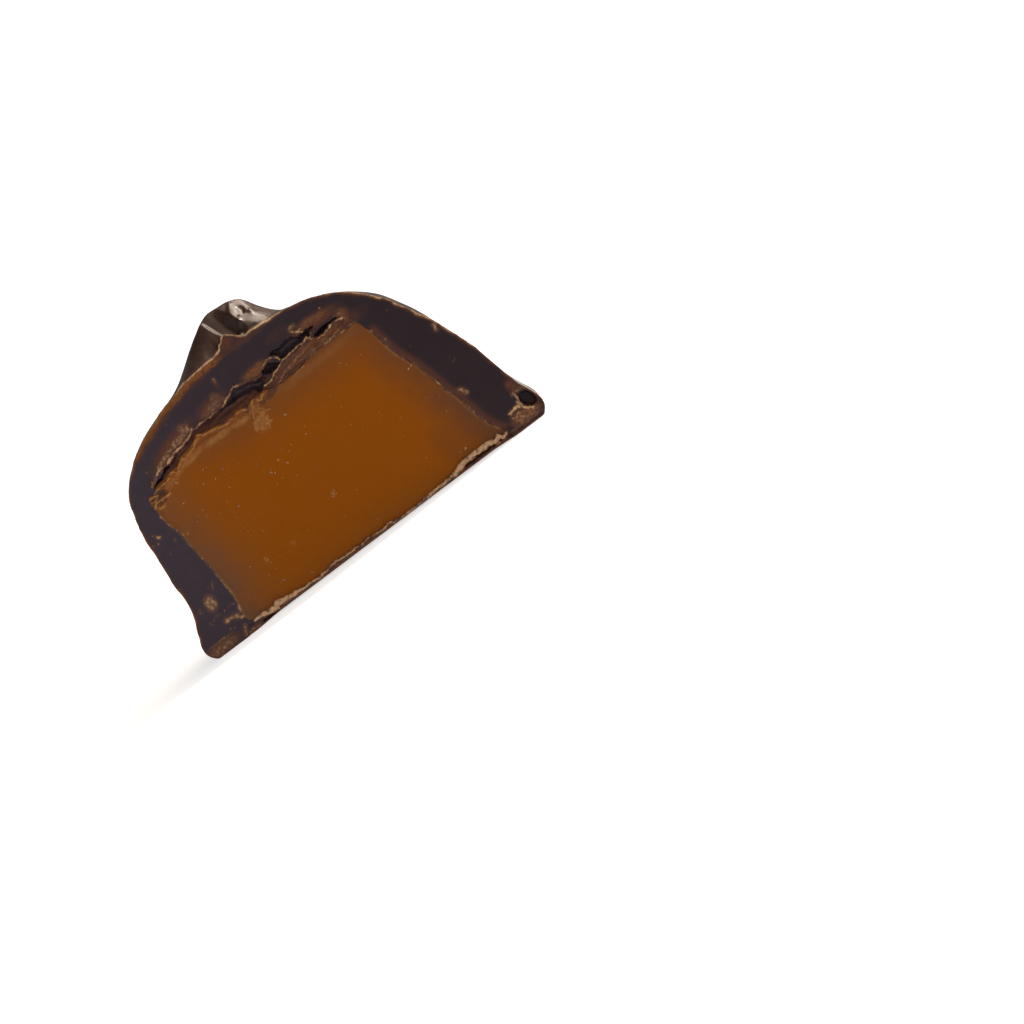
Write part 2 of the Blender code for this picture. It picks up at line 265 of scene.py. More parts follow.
def coatPoint(angle, place):  # the angle runs from the right of the cut round the back to its left
    side = coat["right"] if math.cos(angle) > 0 else coat["left"]
    beside, behind = smoothPoint(side, place), smoothPoint(coat["back"], place)
    share = math.sin(angle) ** 2
    reach = beside[0] + (behind[0] - beside[0]) * share
    height = beside[1] + (behind[1] - beside[1]) * share
    if place < 1:  # the toe turns under in a quarter round
        inner = coat["back"][0][0] * share + side[0][0] * (1 - share)
        outer = coat["back"][1][0] * share + side[1][0] * (1 - share)
        reach = inner + (outer - inner) * math.sin(place * math.pi / 2)
        height = side[1][1] * (1 - math.cos(place * math.pi / 2))
    crownward = float(ease(place, 6.0, 10.0))
    power = coat["squareness"] + (coat["crownRoundness"] - coat["squareness"]) * crownward
    reach *= (abs(math.cos(angle)) ** power + abs(math.sin(angle)) ** power) ** (-1 / power)
    rear = float(ease(math.sin(angle), 0.0, 0.35))
    foot = 1 - float(ease(place, 1.0, 3.5))
    reach -= coat["drawIn"] * float(ease(math.sin(angle), 0.02, 0.2) - ease(math.sin(angle), 0.5, 0.9))
    reach += coat["footWander"] * foot * math.sin(5 * angle + 0.6) * math.sin(2 * angle) * rear
    point = Vector((reach * math.cos(angle), reach * math.sin(angle), height))
    bulge = noise.noise(point / coat["wanderSize"]) * coat["wallWander"] * rear
    point += Vector((math.cos(angle), math.sin(angle), 0.0)) * bulge * (1 - crownward)
    point.z += bulge * crownward
    return point


def read(table, value):
    return np.interp(value, *zip(*table))


def peakHeight(x, y, rise):
    front = np.clip(y / (peak["climb"] - 0.2 + 0.4 * np.cos((x - 0.2) * 0.8)), 0, 1)
    power = read(peak["powers"], x + 0.1 + 0.34 * np.clip(y, 0, 4))
    share = (1 - (1 - front) ** 1.15) ** power * read(peak["back"], np.maximum(y, 5.2))
    leant = x + peak["lean"] * (1 - front) * ease(x, 0.2, 1.2)
    sharp = read(rise, leant)
    soft = sum(read(rise, leant + shift) for shift in (-0.6, -0.3, 0, 0.3, 0.6)) / 5
    crisp = ease(x, -6.2, -5.2) * (1 - ease(x, 3.0, 4.2)) * (1 - ease(y, 4.6, 7.0))
    height = share * (soft + (sharp - soft) * crisp)
    crest = read(peak["crest"], x - 0.22 + 0.1 * np.clip(y, 0, 2))
    height += crest * np.exp(-np.maximum(y, 0) / peak["crestFade"])
    for start, end, width, first, last in peak["strokes"]:
        dx, dy = end[0] - start[0], end[1] - start[1]
        along = np.clip(((x - start[0]) * dx + (y - start[1]) * dy) / (dx * dx + dy * dy), 0, 1)
        away = np.hypot(x - start[0] - along * dx, y - start[1] - along * dy)
        height += (first + (last - first) * along) * np.exp(-(away / width) ** 2)
    return height


def coatBlank():
    bpy.ops.object.select_all(action="DESELECT")
    spokes, rings = coat["spokes"], coat["rings"]
    bpy.ops.mesh.primitive_grid_add(x_subdivisions=spokes, y_subdivisions=rings, size=1)
    blank = lastMade("darkCoat")
    lastPlace = len(coat["left"]) - 1
    for vertex in blank.data.vertices:
        u, v = vertex.co.x + 0.5, vertex.co.y + 0.5
        vertex.co = coatPoint(math.pi * u, lastPlace * v) * mm
    bpy.ops.object.mode_set(mode="EDIT")
    bpy.ops.mesh.select_all(action="SELECT")
    bpy.ops.mesh.remove_doubles(threshold=0.002 * mm)
    bpy.ops.mesh.select_mode(type="EDGE")
    bpy.ops.mesh.select_all(action="DESELECT")
    bpy.ops.object.mode_set(mode="OBJECT")
    onCut = [abs(v.co.y) < 0.001 * mm for v in blank.data.vertices]
    for edge in blank.data.edges:
        edge.select = all(onCut[i] for i in edge.vertices)
    bpy.ops.object.mode_set(mode="EDIT")
    bpy.ops.mesh.extrude_region_move(TRANSFORM_OT_translate={"value": (0, -coat["frontReach"] * mm, 0)})
    bpy.ops.mesh.select_all(action="DESELECT")
    bpy.ops.object.mode_set(mode="OBJECT")
    for edge in blank.data.edges:
        edge.select = all(blank.data.vertices[i].co.z < 0.001 * mm for i in edge.vertices)
    bpy.ops.object.mode_set(mode="EDIT")
    bpy.ops.mesh.edge_face_add()
    bpy.ops.mesh.select_all(action="DESELECT")
    bpy.ops.mesh.select_non_manifold()
    bpy.ops.mesh.edge_face_add()
    facedOutwards()
    applied(blank, "REMESH", mode="VOXEL", voxel_size=coat["voxel"] * mm)
    selectFaces(blank, lambda face: face.center.z < 0.5 * mm)
    bpy.ops.mesh.vertices_smooth(factor=0.5, repeat=5)
    bpy.ops.object.mode_set(mode="OBJECT")
    return blank


def raisePeak(blank):
    def within(face, left, right, front, rear):
        x, y, z = face.center / mm
        return left < x < right and front < y < rear and z > peak["above"] and face.normal.z > 0.3

    def onCrown(face):
        left, right, rear = peak["reach"]
        return within(face, left, right, -math.inf, rear)

    def onTip(face):
        return within(face, *peak["tip"])

    for test in (onCrown, onTip):
        selectFaces(blank, test)
        bpy.ops.mesh.subdivide(number_cuts=1)
        bpy.ops.object.mode_set(mode="OBJECT")
    places = coordinates(blank)
    x, y, z = (places / mm).T
    high = z > peak["above"]
    tree = KDTree(len(x))
    for i in np.flatnonzero(high):
        tree.insert((x[i], y[i], 0), i)
    tree.balance()
    rise = [(px, max(pz - z[tree.find((px, peak["fullDepth"], 0))[1]], 0)) for px, pz in peak["outline"]]
    rise = smoothLine([(peak["ends"][0], 0)] + rise + [(peak["ends"][1], 0)], 6)
    places[high, 2] += peakHeight(x[high], y[high], rise) * mm
    setCoordinates(blank, places)
    selectFaces(blank, lambda face: onTip(face) and face.center.y > 0.25 * mm)
    bpy.ops.mesh.vertices_smooth(factor=0.5, repeat=6)
    bpy.ops.object.mode_set(mode="OBJECT")


def dippedSkin(blank):  # slow ripples of a hand-dipped coat, and small chips along the cut's edge
    places = coordinates(blank)
    normals = np.empty(len(places) * 3)
    blank.data.vertex_normals.foreach_get("vector", normals)
    normals = normals.reshape(-1, 3)

    def soft(size, stretch=(1, 1, 1), shift=(0, 0, 0)):
        return np.array([noise.noise(p / (size * mm)) for p in map(Vector, places * stretch + shift)])

    ripple = sum(soft(size) * height for size, height in coat["ripples"])
    chips = soft(coat["chips"]["coarse"], stretch=(1, 0.6, 1))
    chips += soft(coat["chips"]["fine"], shift=(0, 0, 0.01)) * 0.45
    clusters = soft(coat["chips"]["clusters"])
    chips *= np.clip(0.45 + 1.6 * clusters, 0.1, 1.2)
    nearCut = 1 - ease(places[:, 1] / mm, 0.2, 0.9)
    standing = ease(places[:, 2] / mm, 0.05, 0.4)
    lift = (ripple + nearCut * np.clip(chips, -0.9, 0.3) * coat["chips"]["depth"]) * standing
    for x, z, reach, depth in coat["notches"]:
        away = np.hypot(places[:, 0] / mm - x, places[:, 2] / mm - z)
        lift -= depth * np.exp(-(away / reach) ** 2) * (1 - ease(places[:, 1] / mm, 0.1, 0.8))
    places += normals * lift[:, None] * mm
    flat, softened = coat["sole"]
    low = places[:, 2] < softened * mm
    places[low, 2] = np.maximum(places[low, 2] - flat * mm, 0) * softened / (softened - flat)
    x, y, z = (places / mm).T
    raised = (1 - ease(np.abs(x - 0.5), 10.0, 12.5)) * (1 - ease(y, 0.3, 2.2)) * (1 - ease(z, 0.2, 0.8))
    places[:, 2] += raised * coat["soleLift"] * mm
    setCoordinates(blank, places)


# The cut: what the knife left, in the cut plane's frame. A line is (points, half width, strength).

cut = {
    "columns": (-17.0, 17.2, 0.07),
    "rows": ((-0.6, 1.4, 0.055), (1.4, 12.0, 0.13), (12.0, 17.0, 0.055), (17.0, 21.5, 0.09)),
    "ragged": 0.07,
    "voidDepth": 1.2,
    "lipRise": 0.2,
    "burrRise": 0.28,
    "before": 4.0,  # how far the knives reach in front of the cut
    "plugFront": -2.0,
    "wall": (0.09, 0.03),  # step and raggedness of the wall between caramel and coat
    "overlap": 0.06,  # how far the caramel reaches into that wall, so that no gap shows
}

crackFloor = [
    (-11.6, 12.9), (-11.2, 13.2), (-10.4, 13.3), (-9.7, 13.45), (-9.1, 13.45), (-8.5, 13.85),
    (-7.4, 14.05), (-7.0, 14.2), (-6.5, 14.5), (-6.2, 14.4), (-5.6, 14.25), (-5.0, 14.15),
    (-4.4, 13.95), (-3.9, 14.0), (-3.4, 13.95), (-3.1, 14.1), (-2.6, 14.1), (-2.2, 13.8),
    (-1.8, 14.0), (-1.6, 14.1), (-1.0, 14.05), (-0.75, 14.1), (-0.35, 14.45), (0.0, 14.6),
    (0.4, 14.95),
]
crackRoof = [
    (0.2, 15.3), (0.02, 15.15), (-0.5, 15.14), (-1.0, 15.46), (-1.65, 15.48), (-1.9, 15.66),
    (-2.5, 15.55), (-2.9, 15.3), (-3.4, 15.08), (-4.2, 15.0), (-5.3, 14.98), (-6.3, 14.95),
    (-6.7, 14.85), (-7.5, 14.55), (-8.3, 14.5), (-8.8, 14.3), (-9.3, 14.1), (-9.6, 14.0),
    (-10.15, 13.75), (-10.6, 13.6), (-11.2, 13.45), (-11.55, 13.1),
]
voids = [
    [(-11.55, 12.9), (-11.42, 13.45), (-11.0, 13.6), (-10.5, 13.62), (-10.15, 13.9), (-9.9, 14.08),
     (-9.6, 14.0), (-9.55, 13.85), (-10.1, 13.75), (-10.45, 13.5), (-10.8, 13.35), (-11.2, 13.2),
     (-11.35, 12.85)],
    [(-5.3, 14.93), (-4.2, 15.0), (-3.4, 15.08), (-2.9, 15.3), (-2.5, 15.55), (-2.15, 15.66),
     (-1.9, 15.66), (-1.65, 15.48), (-1.0, 15.46), (-0.75, 15.3), (-0.5, 15.14), (0.02, 15.12),
     (0.05, 14.9), (-0.1, 14.6), (-0.35, 14.45), (-0.75, 14.2), (-0.88, 14.55), (-1.3, 14.72),
     (-2.0, 14.78), (-3.0, 14.86), (-4.2, 14.9)],
    [(0.15, 15.5), (0.6, 15.58), (0.95, 15.68), (1.2, 15.66), (1.35, 15.45), (1.75, 15.28),
     (1.7, 15.15), (1.45, 15.0), (0.9, 14.95), (0.45, 15.05), (0.25, 15.3)],
    [(1.45, 16.15), (1.75, 16.25), (2.3, 16.12), (2.9, 16.2), (3.6, 16.25), (3.85, 16.1),
     (4.05, 15.95), (4.4, 15.95), (4.75, 16.0), (5.4, 15.97), (5.42, 15.88), (5.1, 15.62),
     (4.8, 15.45), (4.6, 15.5), (4.5, 15.55), (4.3, 15.42), (3.95, 15.38), (3.7, 15.42),
     (3.3, 15.42), (2.7, 15.36), (2.0, 15.35), (1.98, 15.7), (1.85, 15.9), (1.6, 16.02)],
    [(4.95, 15.2), (5.3, 15.35), (5.7, 15.45), (6.1, 15.45), (6.5, 15.4), (6.9, 15.42),
     (7.25, 15.42), (7.3, 15.3), (6.8, 15.27), (6.5, 15.25), (6.2, 15.1), (5.8, 15.02), (5.3, 15.05)],
]
pits = [  # smaller holes: outline and depth
    ([(14.7, 2.5), (14.95, 2.45), (15.3, 2.35), (15.6, 2.0), (15.72, 1.6), (15.6, 1.15),
      (15.1, 1.05), (14.8, 1.3), (14.6, 1.6), (14.55, 2.0)], 0.75),
    ([(-12.32, 11.55), (-12.2, 11.6), (-12.1, 11.0), (-12.05, 10.2), (-12.2, 10.15), (-12.25, 10.9)], 0.5),
    ([(-11.1, 0.17), (-11.0, 0.38), (-10.2, 0.36), (-9.6, 0.3), (-9.3, 0.2), (-10.2, 0.13)], 0.4),
    ([(7.9, 0.32), (8.3, 0.52), (9.4, 0.56), (10.6, 0.54), (11.6, 0.5), (12.0, 0.35), (10.5, 0.3),
      (9.0, 0.28)], 0.5),
]

# Lips of torn chocolate that stand proud round the crack and catch the light
lips = [
    ([(-11.55, 13.4), (-11.3, 13.75), (-10.9, 13.72)], 0.1, 0.6),
    ([(-10.85, 13.95), (-10.5, 14.15), (-10.0, 14.2), (-9.6, 14.15), (-9.2, 14.3), (-8.7, 14.55),
      (-8.3, 14.55), (-7.8, 14.6), (-7.2, 14.75), (-6.7, 14.95), (-6.5, 15.15)], 0.12, 0.8),
    ([(-6.6, 15.1), (-6.75, 15.45), (-6.7, 15.8)], 0.15, 0.5),
    ([(-6.4, 15.02), (-5.8, 15.12), (-5.2, 15.1), (-4.6, 15.1), (-4.1, 15.15), (-3.7, 15.12),
      (-3.3, 15.25)], 0.09, 0.6),
    ([(-3.9, 15.2), (-3.75, 15.5), (-3.9, 15.9)], 0.12, 0.5),
    ([(-3.3, 15.25), (-3.1, 15.45), (-2.75, 15.5), (-2.45, 15.74), (-2.1, 15.84), (-1.85, 15.8),
      (-1.6, 15.62), (-1.2, 15.6)], 0.09, 0.7),
    ([(-0.6, 15.25), (-0.2, 15.24), (0.1, 15.32)], 0.07, 0.45),
    ([(-0.85, 15.9), (-0.4, 15.97), (0.1, 15.95), (0.5, 15.9)], 0.06, 0.35),
    ([(0.1, 15.64), (0.5, 15.77), (0.95, 15.84), (1.15, 16.0)], 0.07, 0.55),
    ([(1.15, 15.98), (1.4, 15.92), (1.65, 15.8), (1.88, 15.62), (1.95, 15.4)], 0.08, 1.0),
    ([(-0.15, 14.48), (0.15, 14.45), (0.5, 14.52), (0.8, 14.68), (0.95, 14.8), (1.3, 14.85),
      (1.55, 14.92), (1.85, 15.1), (2.0, 15.2)], 0.07, 1.0),
    ([(1.95, 15.18), (2.3, 15.22), (2.6, 15.29), (3.0, 15.33), (3.4, 15.37), (3.7, 15.38),
      (3.95, 15.3), (4.2, 15.33), (4.4, 15.45), (4.52, 15.55), (4.6, 15.4), (4.72, 15.2),
      (4.9, 15.05), (5.2, 14.92), (5.7, 14.87), (5.95, 14.97), (6.25, 15.05), (6.55, 15.2),
      (6.9, 15.2), (7.2, 15.15), (7.6, 15.08)], 0.075, 0.9),
    ([(0.9, 14.65), (0.92, 14.45), (0.75, 14.35)], 0.06, 0.6),
    ([(4.75, 15.35), (4.95, 15.52), (5.15, 15.72)], 0.06, 0.7),
    ([(3.85, 16.6), (3.95, 16.4), (4.15, 16.3), (4.4, 16.15), (4.5, 16.05)], 0.09, 0.9),
    ([(4.05, 16.45), (4.35, 16.3), (4.6, 16.3)], 0.07, 0.6),
    ([(7.5, 15.6), (7.7, 15.35), (7.6, 15.05), (7.75, 14.75)], 0.1, 0.4),
]
tornLines = [  # the drawn-out streaks of the torn layer under the crack
    ([(0.6, 14.0), (1.0, 14.1), (1.6, 14.35), (2.2, 14.5), (2.9, 14.65), (3.6, 14.85)], 0.06, 0.45),
    ([(3.3, 14.3), (4.2, 14.4), (5.0, 14.5), (5.8, 14.5)], 0.05, 0.4),
    ([(5.3, 14.25), (6.0, 14.25), (6.6, 14.2), (7.3, 14.1)], 0.05, 0.5),
    ([(7.2, 14.15), (7.8, 14.25), (8.15, 14.2)], 0.1, 0.5),
    ([(4.9, 14.75), (5.6, 14.6), (5.8, 14.3)], 0.06, 0.4),
    ([(1.5, 14.1), (2.7, 14.55), (3.6, 14.75), (4.2, 14.95)], 0.045, 0.45),
    ([(3.3, 13.98), (3.75, 14.1), (4.35, 14.2), (4.6, 14.1)], 0.045, 0.6),
    ([(3.45, 14.3), (3.9, 14.2), (4.4, 14.3), (5.1, 14.38), (5.6, 14.3)], 0.045, 0.5),
    ([(5.75, 14.4), (6.2, 14.34), (6.8, 14.5)], 0.05, 0.55),
    ([(4.7, 14.12), (5.5, 14.16), (6.4, 14.12), (7.05, 14.2), (8.05, 14.3)], 0.05, 0.55),
    ([(4.3, 14.9), (4.33, 14.55), (4.38, 14.25)], 0.045, 0.4),
    ([(2.2, 14.95), (3.0, 14.98), (3.9, 15.12)], 0.05, 0.35),
]
tornLayer = [
    (-0.8, 14.1), (0.0, 14.5), (0.5, 14.5), (0.95, 14.8), (1.55, 14.92), (2.0, 15.2), (3.0, 15.33),
    (3.7, 15.38), (4.4, 15.4), (4.9, 15.05), (5.7, 14.87), (6.5, 15.15), (7.6, 15.08), (8.3, 14.8),
    (8.35, 13.8), (4.0, 13.6), (0.0, 13.6),
]

# The burr that the knife pushed out along the base, and the crumbs at the right of the foot
burr = [
    (-11.4, 0.72), (-11.0, 0.75), (-10.6, 0.72), (-10.3, 0.64), (-10.0, 0.58), (-9.6, 0.62),
    (-9.4, 0.78), (-9.0, 0.72), (-8.5, 0.62), (-8.0, 0.52), (-7.6, 0.58), (-7.0, 0.45), (-6.5, 0.5),
    (-6.0, 0.42), (-5.0, 0.45), (-4.4, 0.6), (-4.0, 0.62), (-3.5, 0.55), (-3.0, 0.5), (-2.4, 0.5),
    (-2.0, 0.55), (-1.5, 0.45), (-1.0, 0.6), (-0.6, 0.5), (0.0, 0.45), (0.5, 0.4), (1.0, 0.55),
    (1.4, 0.4), (1.9, 0.3), (2.5, 0.28), (3.5, 0.3), (4.5, 0.34), (5.5, 0.42), (6.5, 0.45),
    (7.3, 0.5), (7.8, 0.65), (8.4, 0.8), (9.0, 0.8), (9.8, 0.8), (10.6, 0.8), (11.0, 0.7),
    (11.3, 0.55), (11.6, 0.9), (11.9, 0.5), (12.2, 0.6),
]
burrWidth = ((-11.4, 0.13), (-10.6, 0.2), (-9.4, 0.28), (-8.6, 0.22), (-7.0, 0.13), (2.0, 0.12), (6.5, 0.14),
             (8.3, 0.26), (11.0, 0.26), (12.2, 0.15))
burrTan = ((-11.4, 1.5), (-8.9, 1.5), (-8.2, 1.2), (-5.5, 0.85), (1.5, 0.6), (3.0, 0.8), (6.5, 0.9),
           (7.8, 1.2), (11.0, 1.2), (12.2, 0.9))
footCrumbs = [
    ([(13.35, 1.6), (13.6, 1.7), (14.0, 1.75), (14.4, 1.6), (14.6, 1.3), (14.9, 1.05), (15.1, 1.0)],
     0.12, 1.0),
    ([(14.3, 2.0), (14.4, 1.8), (14.5, 1.6)], 0.1, 0.9),
    ([(14.45, 2.6), (14.5, 2.3), (14.5, 2.0)], 0.08, 0.8),
    ([(14.3, 2.7), (14.8, 2.7), (15.1, 2.75), (15.4, 2.6)], 0.12, 0.5),
    ([(13.3, 1.2), (13.4, 1.2)], 0.08, 0.8),
    ([(-13.2, 1.95), (-12.9, 2.0), (-12.5, 1.9), (-12.2, 1.75)], 0.2, 0.7),
    ([(-12.3, 1.9), (-12.1, 1.5), (-11.97, 1.5), (-11.85, 1.9), (-11.8, 2.3)], 0.14, 0.6),
    ([(-14.3, 2.6), (-14.15, 2.4)], 0.05, 0.5),
    ([(-12.6, 0.25), (-12.45, 0.6), (-12.3, 0.9)], 0.16, 0.55),
    ([(-12.3, 0.2), (-11.8, 0.25), (-11.4, 0.2)], 0.14, 0.5),
    ([(-13.35, 1.3), (-13.25, 1.32)], 0.08, 0.5),
    ([(-13.05, 1.2), (-12.95, 1.2)], 0.07, 0.5),
    ([(11.4, 5.4), (11.7, 4.95)], 0.2, 0.55),
    ([(-12.3, 5.0), (-12.45, 4.75), (-12.6, 4.5)], 0.08, 0.35),
    ([(-13.5, 10.2), (-13.4, 10.08)], 0.13, 0.9),
    ([(12.75, 10.5), (12.72, 10.1)], 0.18, 0.6),
]
wallDots = [  # x, z, radius, strength
    (-13.75, 9.75, 0.09, 0.7), (-14.2, 9.8, 0.07, 0.7), (-12.55, 9.25, 0.08, 0.6),
    (-13.75, 10.5, 0.06, 0.6), (-13.5, 8.55, 0.06, 0.5), (-14.4, 9.6, 0.07, 0.4),
    (-14.6, 6.1, 0.07, 0.4), (-12.8, 4.85, 0.06, 0.4), (9.2, 11.8, 0.08, 0.6),
    (6.65, 16.68, 0.07, 0.9), (10.6, 13.5, 0.06, 0.35), (10.4, 10.3, 0.06, 0.35),
    (12.3, 7.4, 0.06, 0.35), (12.5, 7.5, 0.05, 0.35), (-13.9, 2.6, 0.07, 0.6),
    (-13.7, 2.75, 0.06, 0.6), (-13.5, 2.7, 0.07, 0.6), (-13.25, 2.65, 0.06, 0.6),
    (-12.85, 2.7, 0.07, 0.6), (-12.45, 2.75, 0.06, 0.6), (-12.2, 2.8, 0.07, 0.6),
    (-12.0, 2.7, 0.06, 0.6), (-14.5, 3.8, 0.06, 0.6), (-14.3, 3.85, 0.05, 0.6),
    (-14.4, 3.6, 0.06, 0.6), (-14.2, 3.65, 0.05, 0.6), (-11.2, 14.6, 0.07, 0.5),
    (-7.85, 16.6, 0.06, 0.4), (-2.95, 17.15, 0.1, 0.6), (-2.97, 16.95, 0.08, 0.45),
]
# Soft mottled scuffs: centre, half width and half height, tilt in degrees, strength
scuffs = [
    ((-9.6, 14.5), (1.6, 0.32), 22, 0.5), ((-7.9, 15.05), (1.1, 0.38), 8, 0.5),
    ((-7.05, 15.45), (0.45, 0.6), 0, 0.42), ((-4.4, 15.45), (1.2, 0.42), 10, 0.38),
    ((-3.75, 15.95), (0.4, 0.5), -10, 0.35), ((-3.1, 15.4), (0.5, 0.25), -30, 0.42),
    ((-0.1, 15.85), (1.3, 0.32), 5, 0.22), ((4.05, 16.75), (0.4, 0.28), 10, 0.45),
    ((5.6, 16.35), (1.6, 0.3), -3, 0.22), ((7.5, 15.4), (0.5, 0.5), 0, 0.22),
    ((-13.35, 3.75), (0.55, 0.74), -8, 0.58), ((-12.95, 1.95), (0.45, 0.22), -8, 0.45),
    ((-14.6, 0.55), (1.5, 0.45), 0, 0.42), ((-14.5, 1.05), (1.25, 0.1), 1, 0.45),
    ((14.3, 0.8), (1.3, 0.42), 0, 0.42), ((14.0, 0.45), (1.7, 0.18), 0, 0.42),
    ((-9.7, 0.72), (1.2, 0.2), 0, 0.45), ((1.2, 0.5), (0.8, 0.2), 5, 0.45),
    ((9.3, 0.72), (2.2, 0.18), 0, 0.5), ((-2.5, 0.22), (8.5, 0.12), 0, 0.3),
    ((13.9, 1.15), (0.7, 0.35), -10, 0.44), ((9.5, 0.38), (2.2, 0.14), 0, 0.35),
    ((13.0, 13.2), (0.2, 0.7), -14, 0.2), ((-11.2, 13.6), (0.35, 0.3), 30, 0.4),
]
# Where the chocolate shows warmer brown, and where dark red
warmAreas = [
    ((-0.1, 15.8), (1.5, 0.5), 4, 0.8), ((5.6, 16.15), (2.3, 0.6), -3, 0.62),
    ((3.9, 14.35), (5.2, 1.0), 3, 0.66), ((-4.3, 15.6), (1.5, 0.8), 8, 0.5),
    ((-8.5, 15.0), (2.6, 0.75), 16, 0.62), ((-9.0, 16.75), (1.9, 0.35), 22, 0.7),
    ((-6.2, 17.65), (2.4, 0.34), 12, 0.9), ((-2.9, 18.1), (2.0, 0.28), 3, 0.9),
    ((-0.6, 18.8), (0.8, 0.6), 0, 0.5), ((0.5, 18.2), (2.5, 0.35), 0, 0.35),
    ((7.7, 15.2), (0.7, 0.7), 0, 0.6), ((14.7, 3.3), (0.55, 0.6), 0, 0.6),
    ((-3.0, 16.9), (0.25, 0.6), 0, 0.4),
    ((2.9, 17.0), (1.2, 0.5), 0, 0.16), ((14.3, 0.9), (1.6, 0.6), 0, 0.7),
    ((-14.5, 0.6), (1.8, 0.5), 0, 0.6), ((0.0, 0.4), (12.5, 0.35), 0, 0.8),
]

# The edge of the caramel, going round from the left of the base
caramelEdge = (
    [(-11.85, 0.95)] + [(x, z + float(read(burrWidth, x)) * 0.85) for x, z in burr] + [(12.25, 0.85)]
    + [(12.15, 1.1), (11.6, 2.0), (11.25, 3.0), (11.0, 4.2), (10.88, 5.0), (10.5, 6.0), (10.3, 7.0),
       (10.05, 8.0), (9.73, 9.0), (9.3, 10.0), (9.0, 11.0), (8.8, 12.0), (8.63, 13.0), (8.35, 13.9),
       (8.1, 14.12), (7.2, 14.02), (6.0, 14.08), (4.8, 14.12), (3.5, 14.0), (2.2, 13.82),
       (1.0, 13.78), (0.0, 13.95), (-0.5, 14.2)]
    + [(x, z + 0.05) for x, z in reversed(crackFloor[:-3])]
    + [(-11.8, 12.95), (-12.2, 12.95), (-12.35, 12.6), (-12.38, 12.1), (-12.36, 11.4), (-12.26, 10.8),
       (-12.12, 10.2), (-12.0, 9.8), (-11.9, 9.4), (-11.9, 8.5), (-11.8, 7.4), (-11.7, 6.6),
       (-11.6, 5.8), (-11.6, 4.4), (-11.55, 3.6), (-11.6, 2.9), (-11.65, 2.4), (-11.75, 2.0),
       (-11.9, 1.5)]
)
leftSeam = [
    (-12.42, 11.4), (-12.32, 10.8), (-12.2, 10.2), (-12.07, 9.8), (-11.97, 9.4), (-11.97, 8.5),
    (-11.87, 7.4), (-11.77, 6.6), (-11.67, 5.8), (-11.67, 4.4), (-11.62, 3.6), (-11.67, 2.9),
    (-11.72, 2.4), (-11.82, 2.0), (-11.97, 1.5),
]
rightSeam = [
    (8.71, 13.0), (8.87, 12.0), (9.07, 11.0), (9.37, 10.0), (9.8, 9.0), (10.12, 8.0), (10.37, 7.0),
    (10.57, 6.0), (10.96, 5.0), (11.07, 4.2), (11.32, 3.0), (11.67, 2.0), (12.22, 1.1),
]


def patch(x, z, centre, half, tilt):  # 1 in the middle of a soft ellipse, 0 past its edge
    turn = math.radians(tilt)
    dx, dz = x - centre[0], z - centre[1]
    along = (dx * math.cos(turn) + dz * math.sin(turn)) / half[0]
    across = (dz * math.cos(turn) - dx * math.sin(turn)) / half[1]
    return 1 - ease(np.hypot(along, across), 0.45, 1.25)


def strongestPatch(x, z, areas):
    best = np.zeros(x.shape)
    for centre, half, tilt, strength in areas:
        best = np.maximum(best, patch(x, z, centre, half, tilt) * strength)
    return best


def hump(x, z, px, pz, radius):  # which points are near a dot, and how strongly it shows there
    away = np.hypot(x - px, z - pz)
    near = away < 3 * radius
    return near, np.exp(-(away[near] / radius) ** 2)


def raggedPlace(x, z):
    def wander(seed):
        return cut["ragged"] * (grain(x, z, 0.42, seed, 2) + 0.9 * grain(x, z, 0.17, seed + 3))

    return x + wander(31), z + wander(67)


def streaks(x, z, slope, length, width, seed):  # noise drawn out along one direction
    return grain((x * math.cos(slope) + z * math.sin(slope)) * width / length,
                 z * math.cos(slope) - x * math.sin(slope), width, seed, 2)


def strongest(x, z, lines):
    best = np.zeros(x.shape)
    for points, width, strength in lines:
        best = np.maximum(best, ridge(x, z, points, width) * strength)
    return best


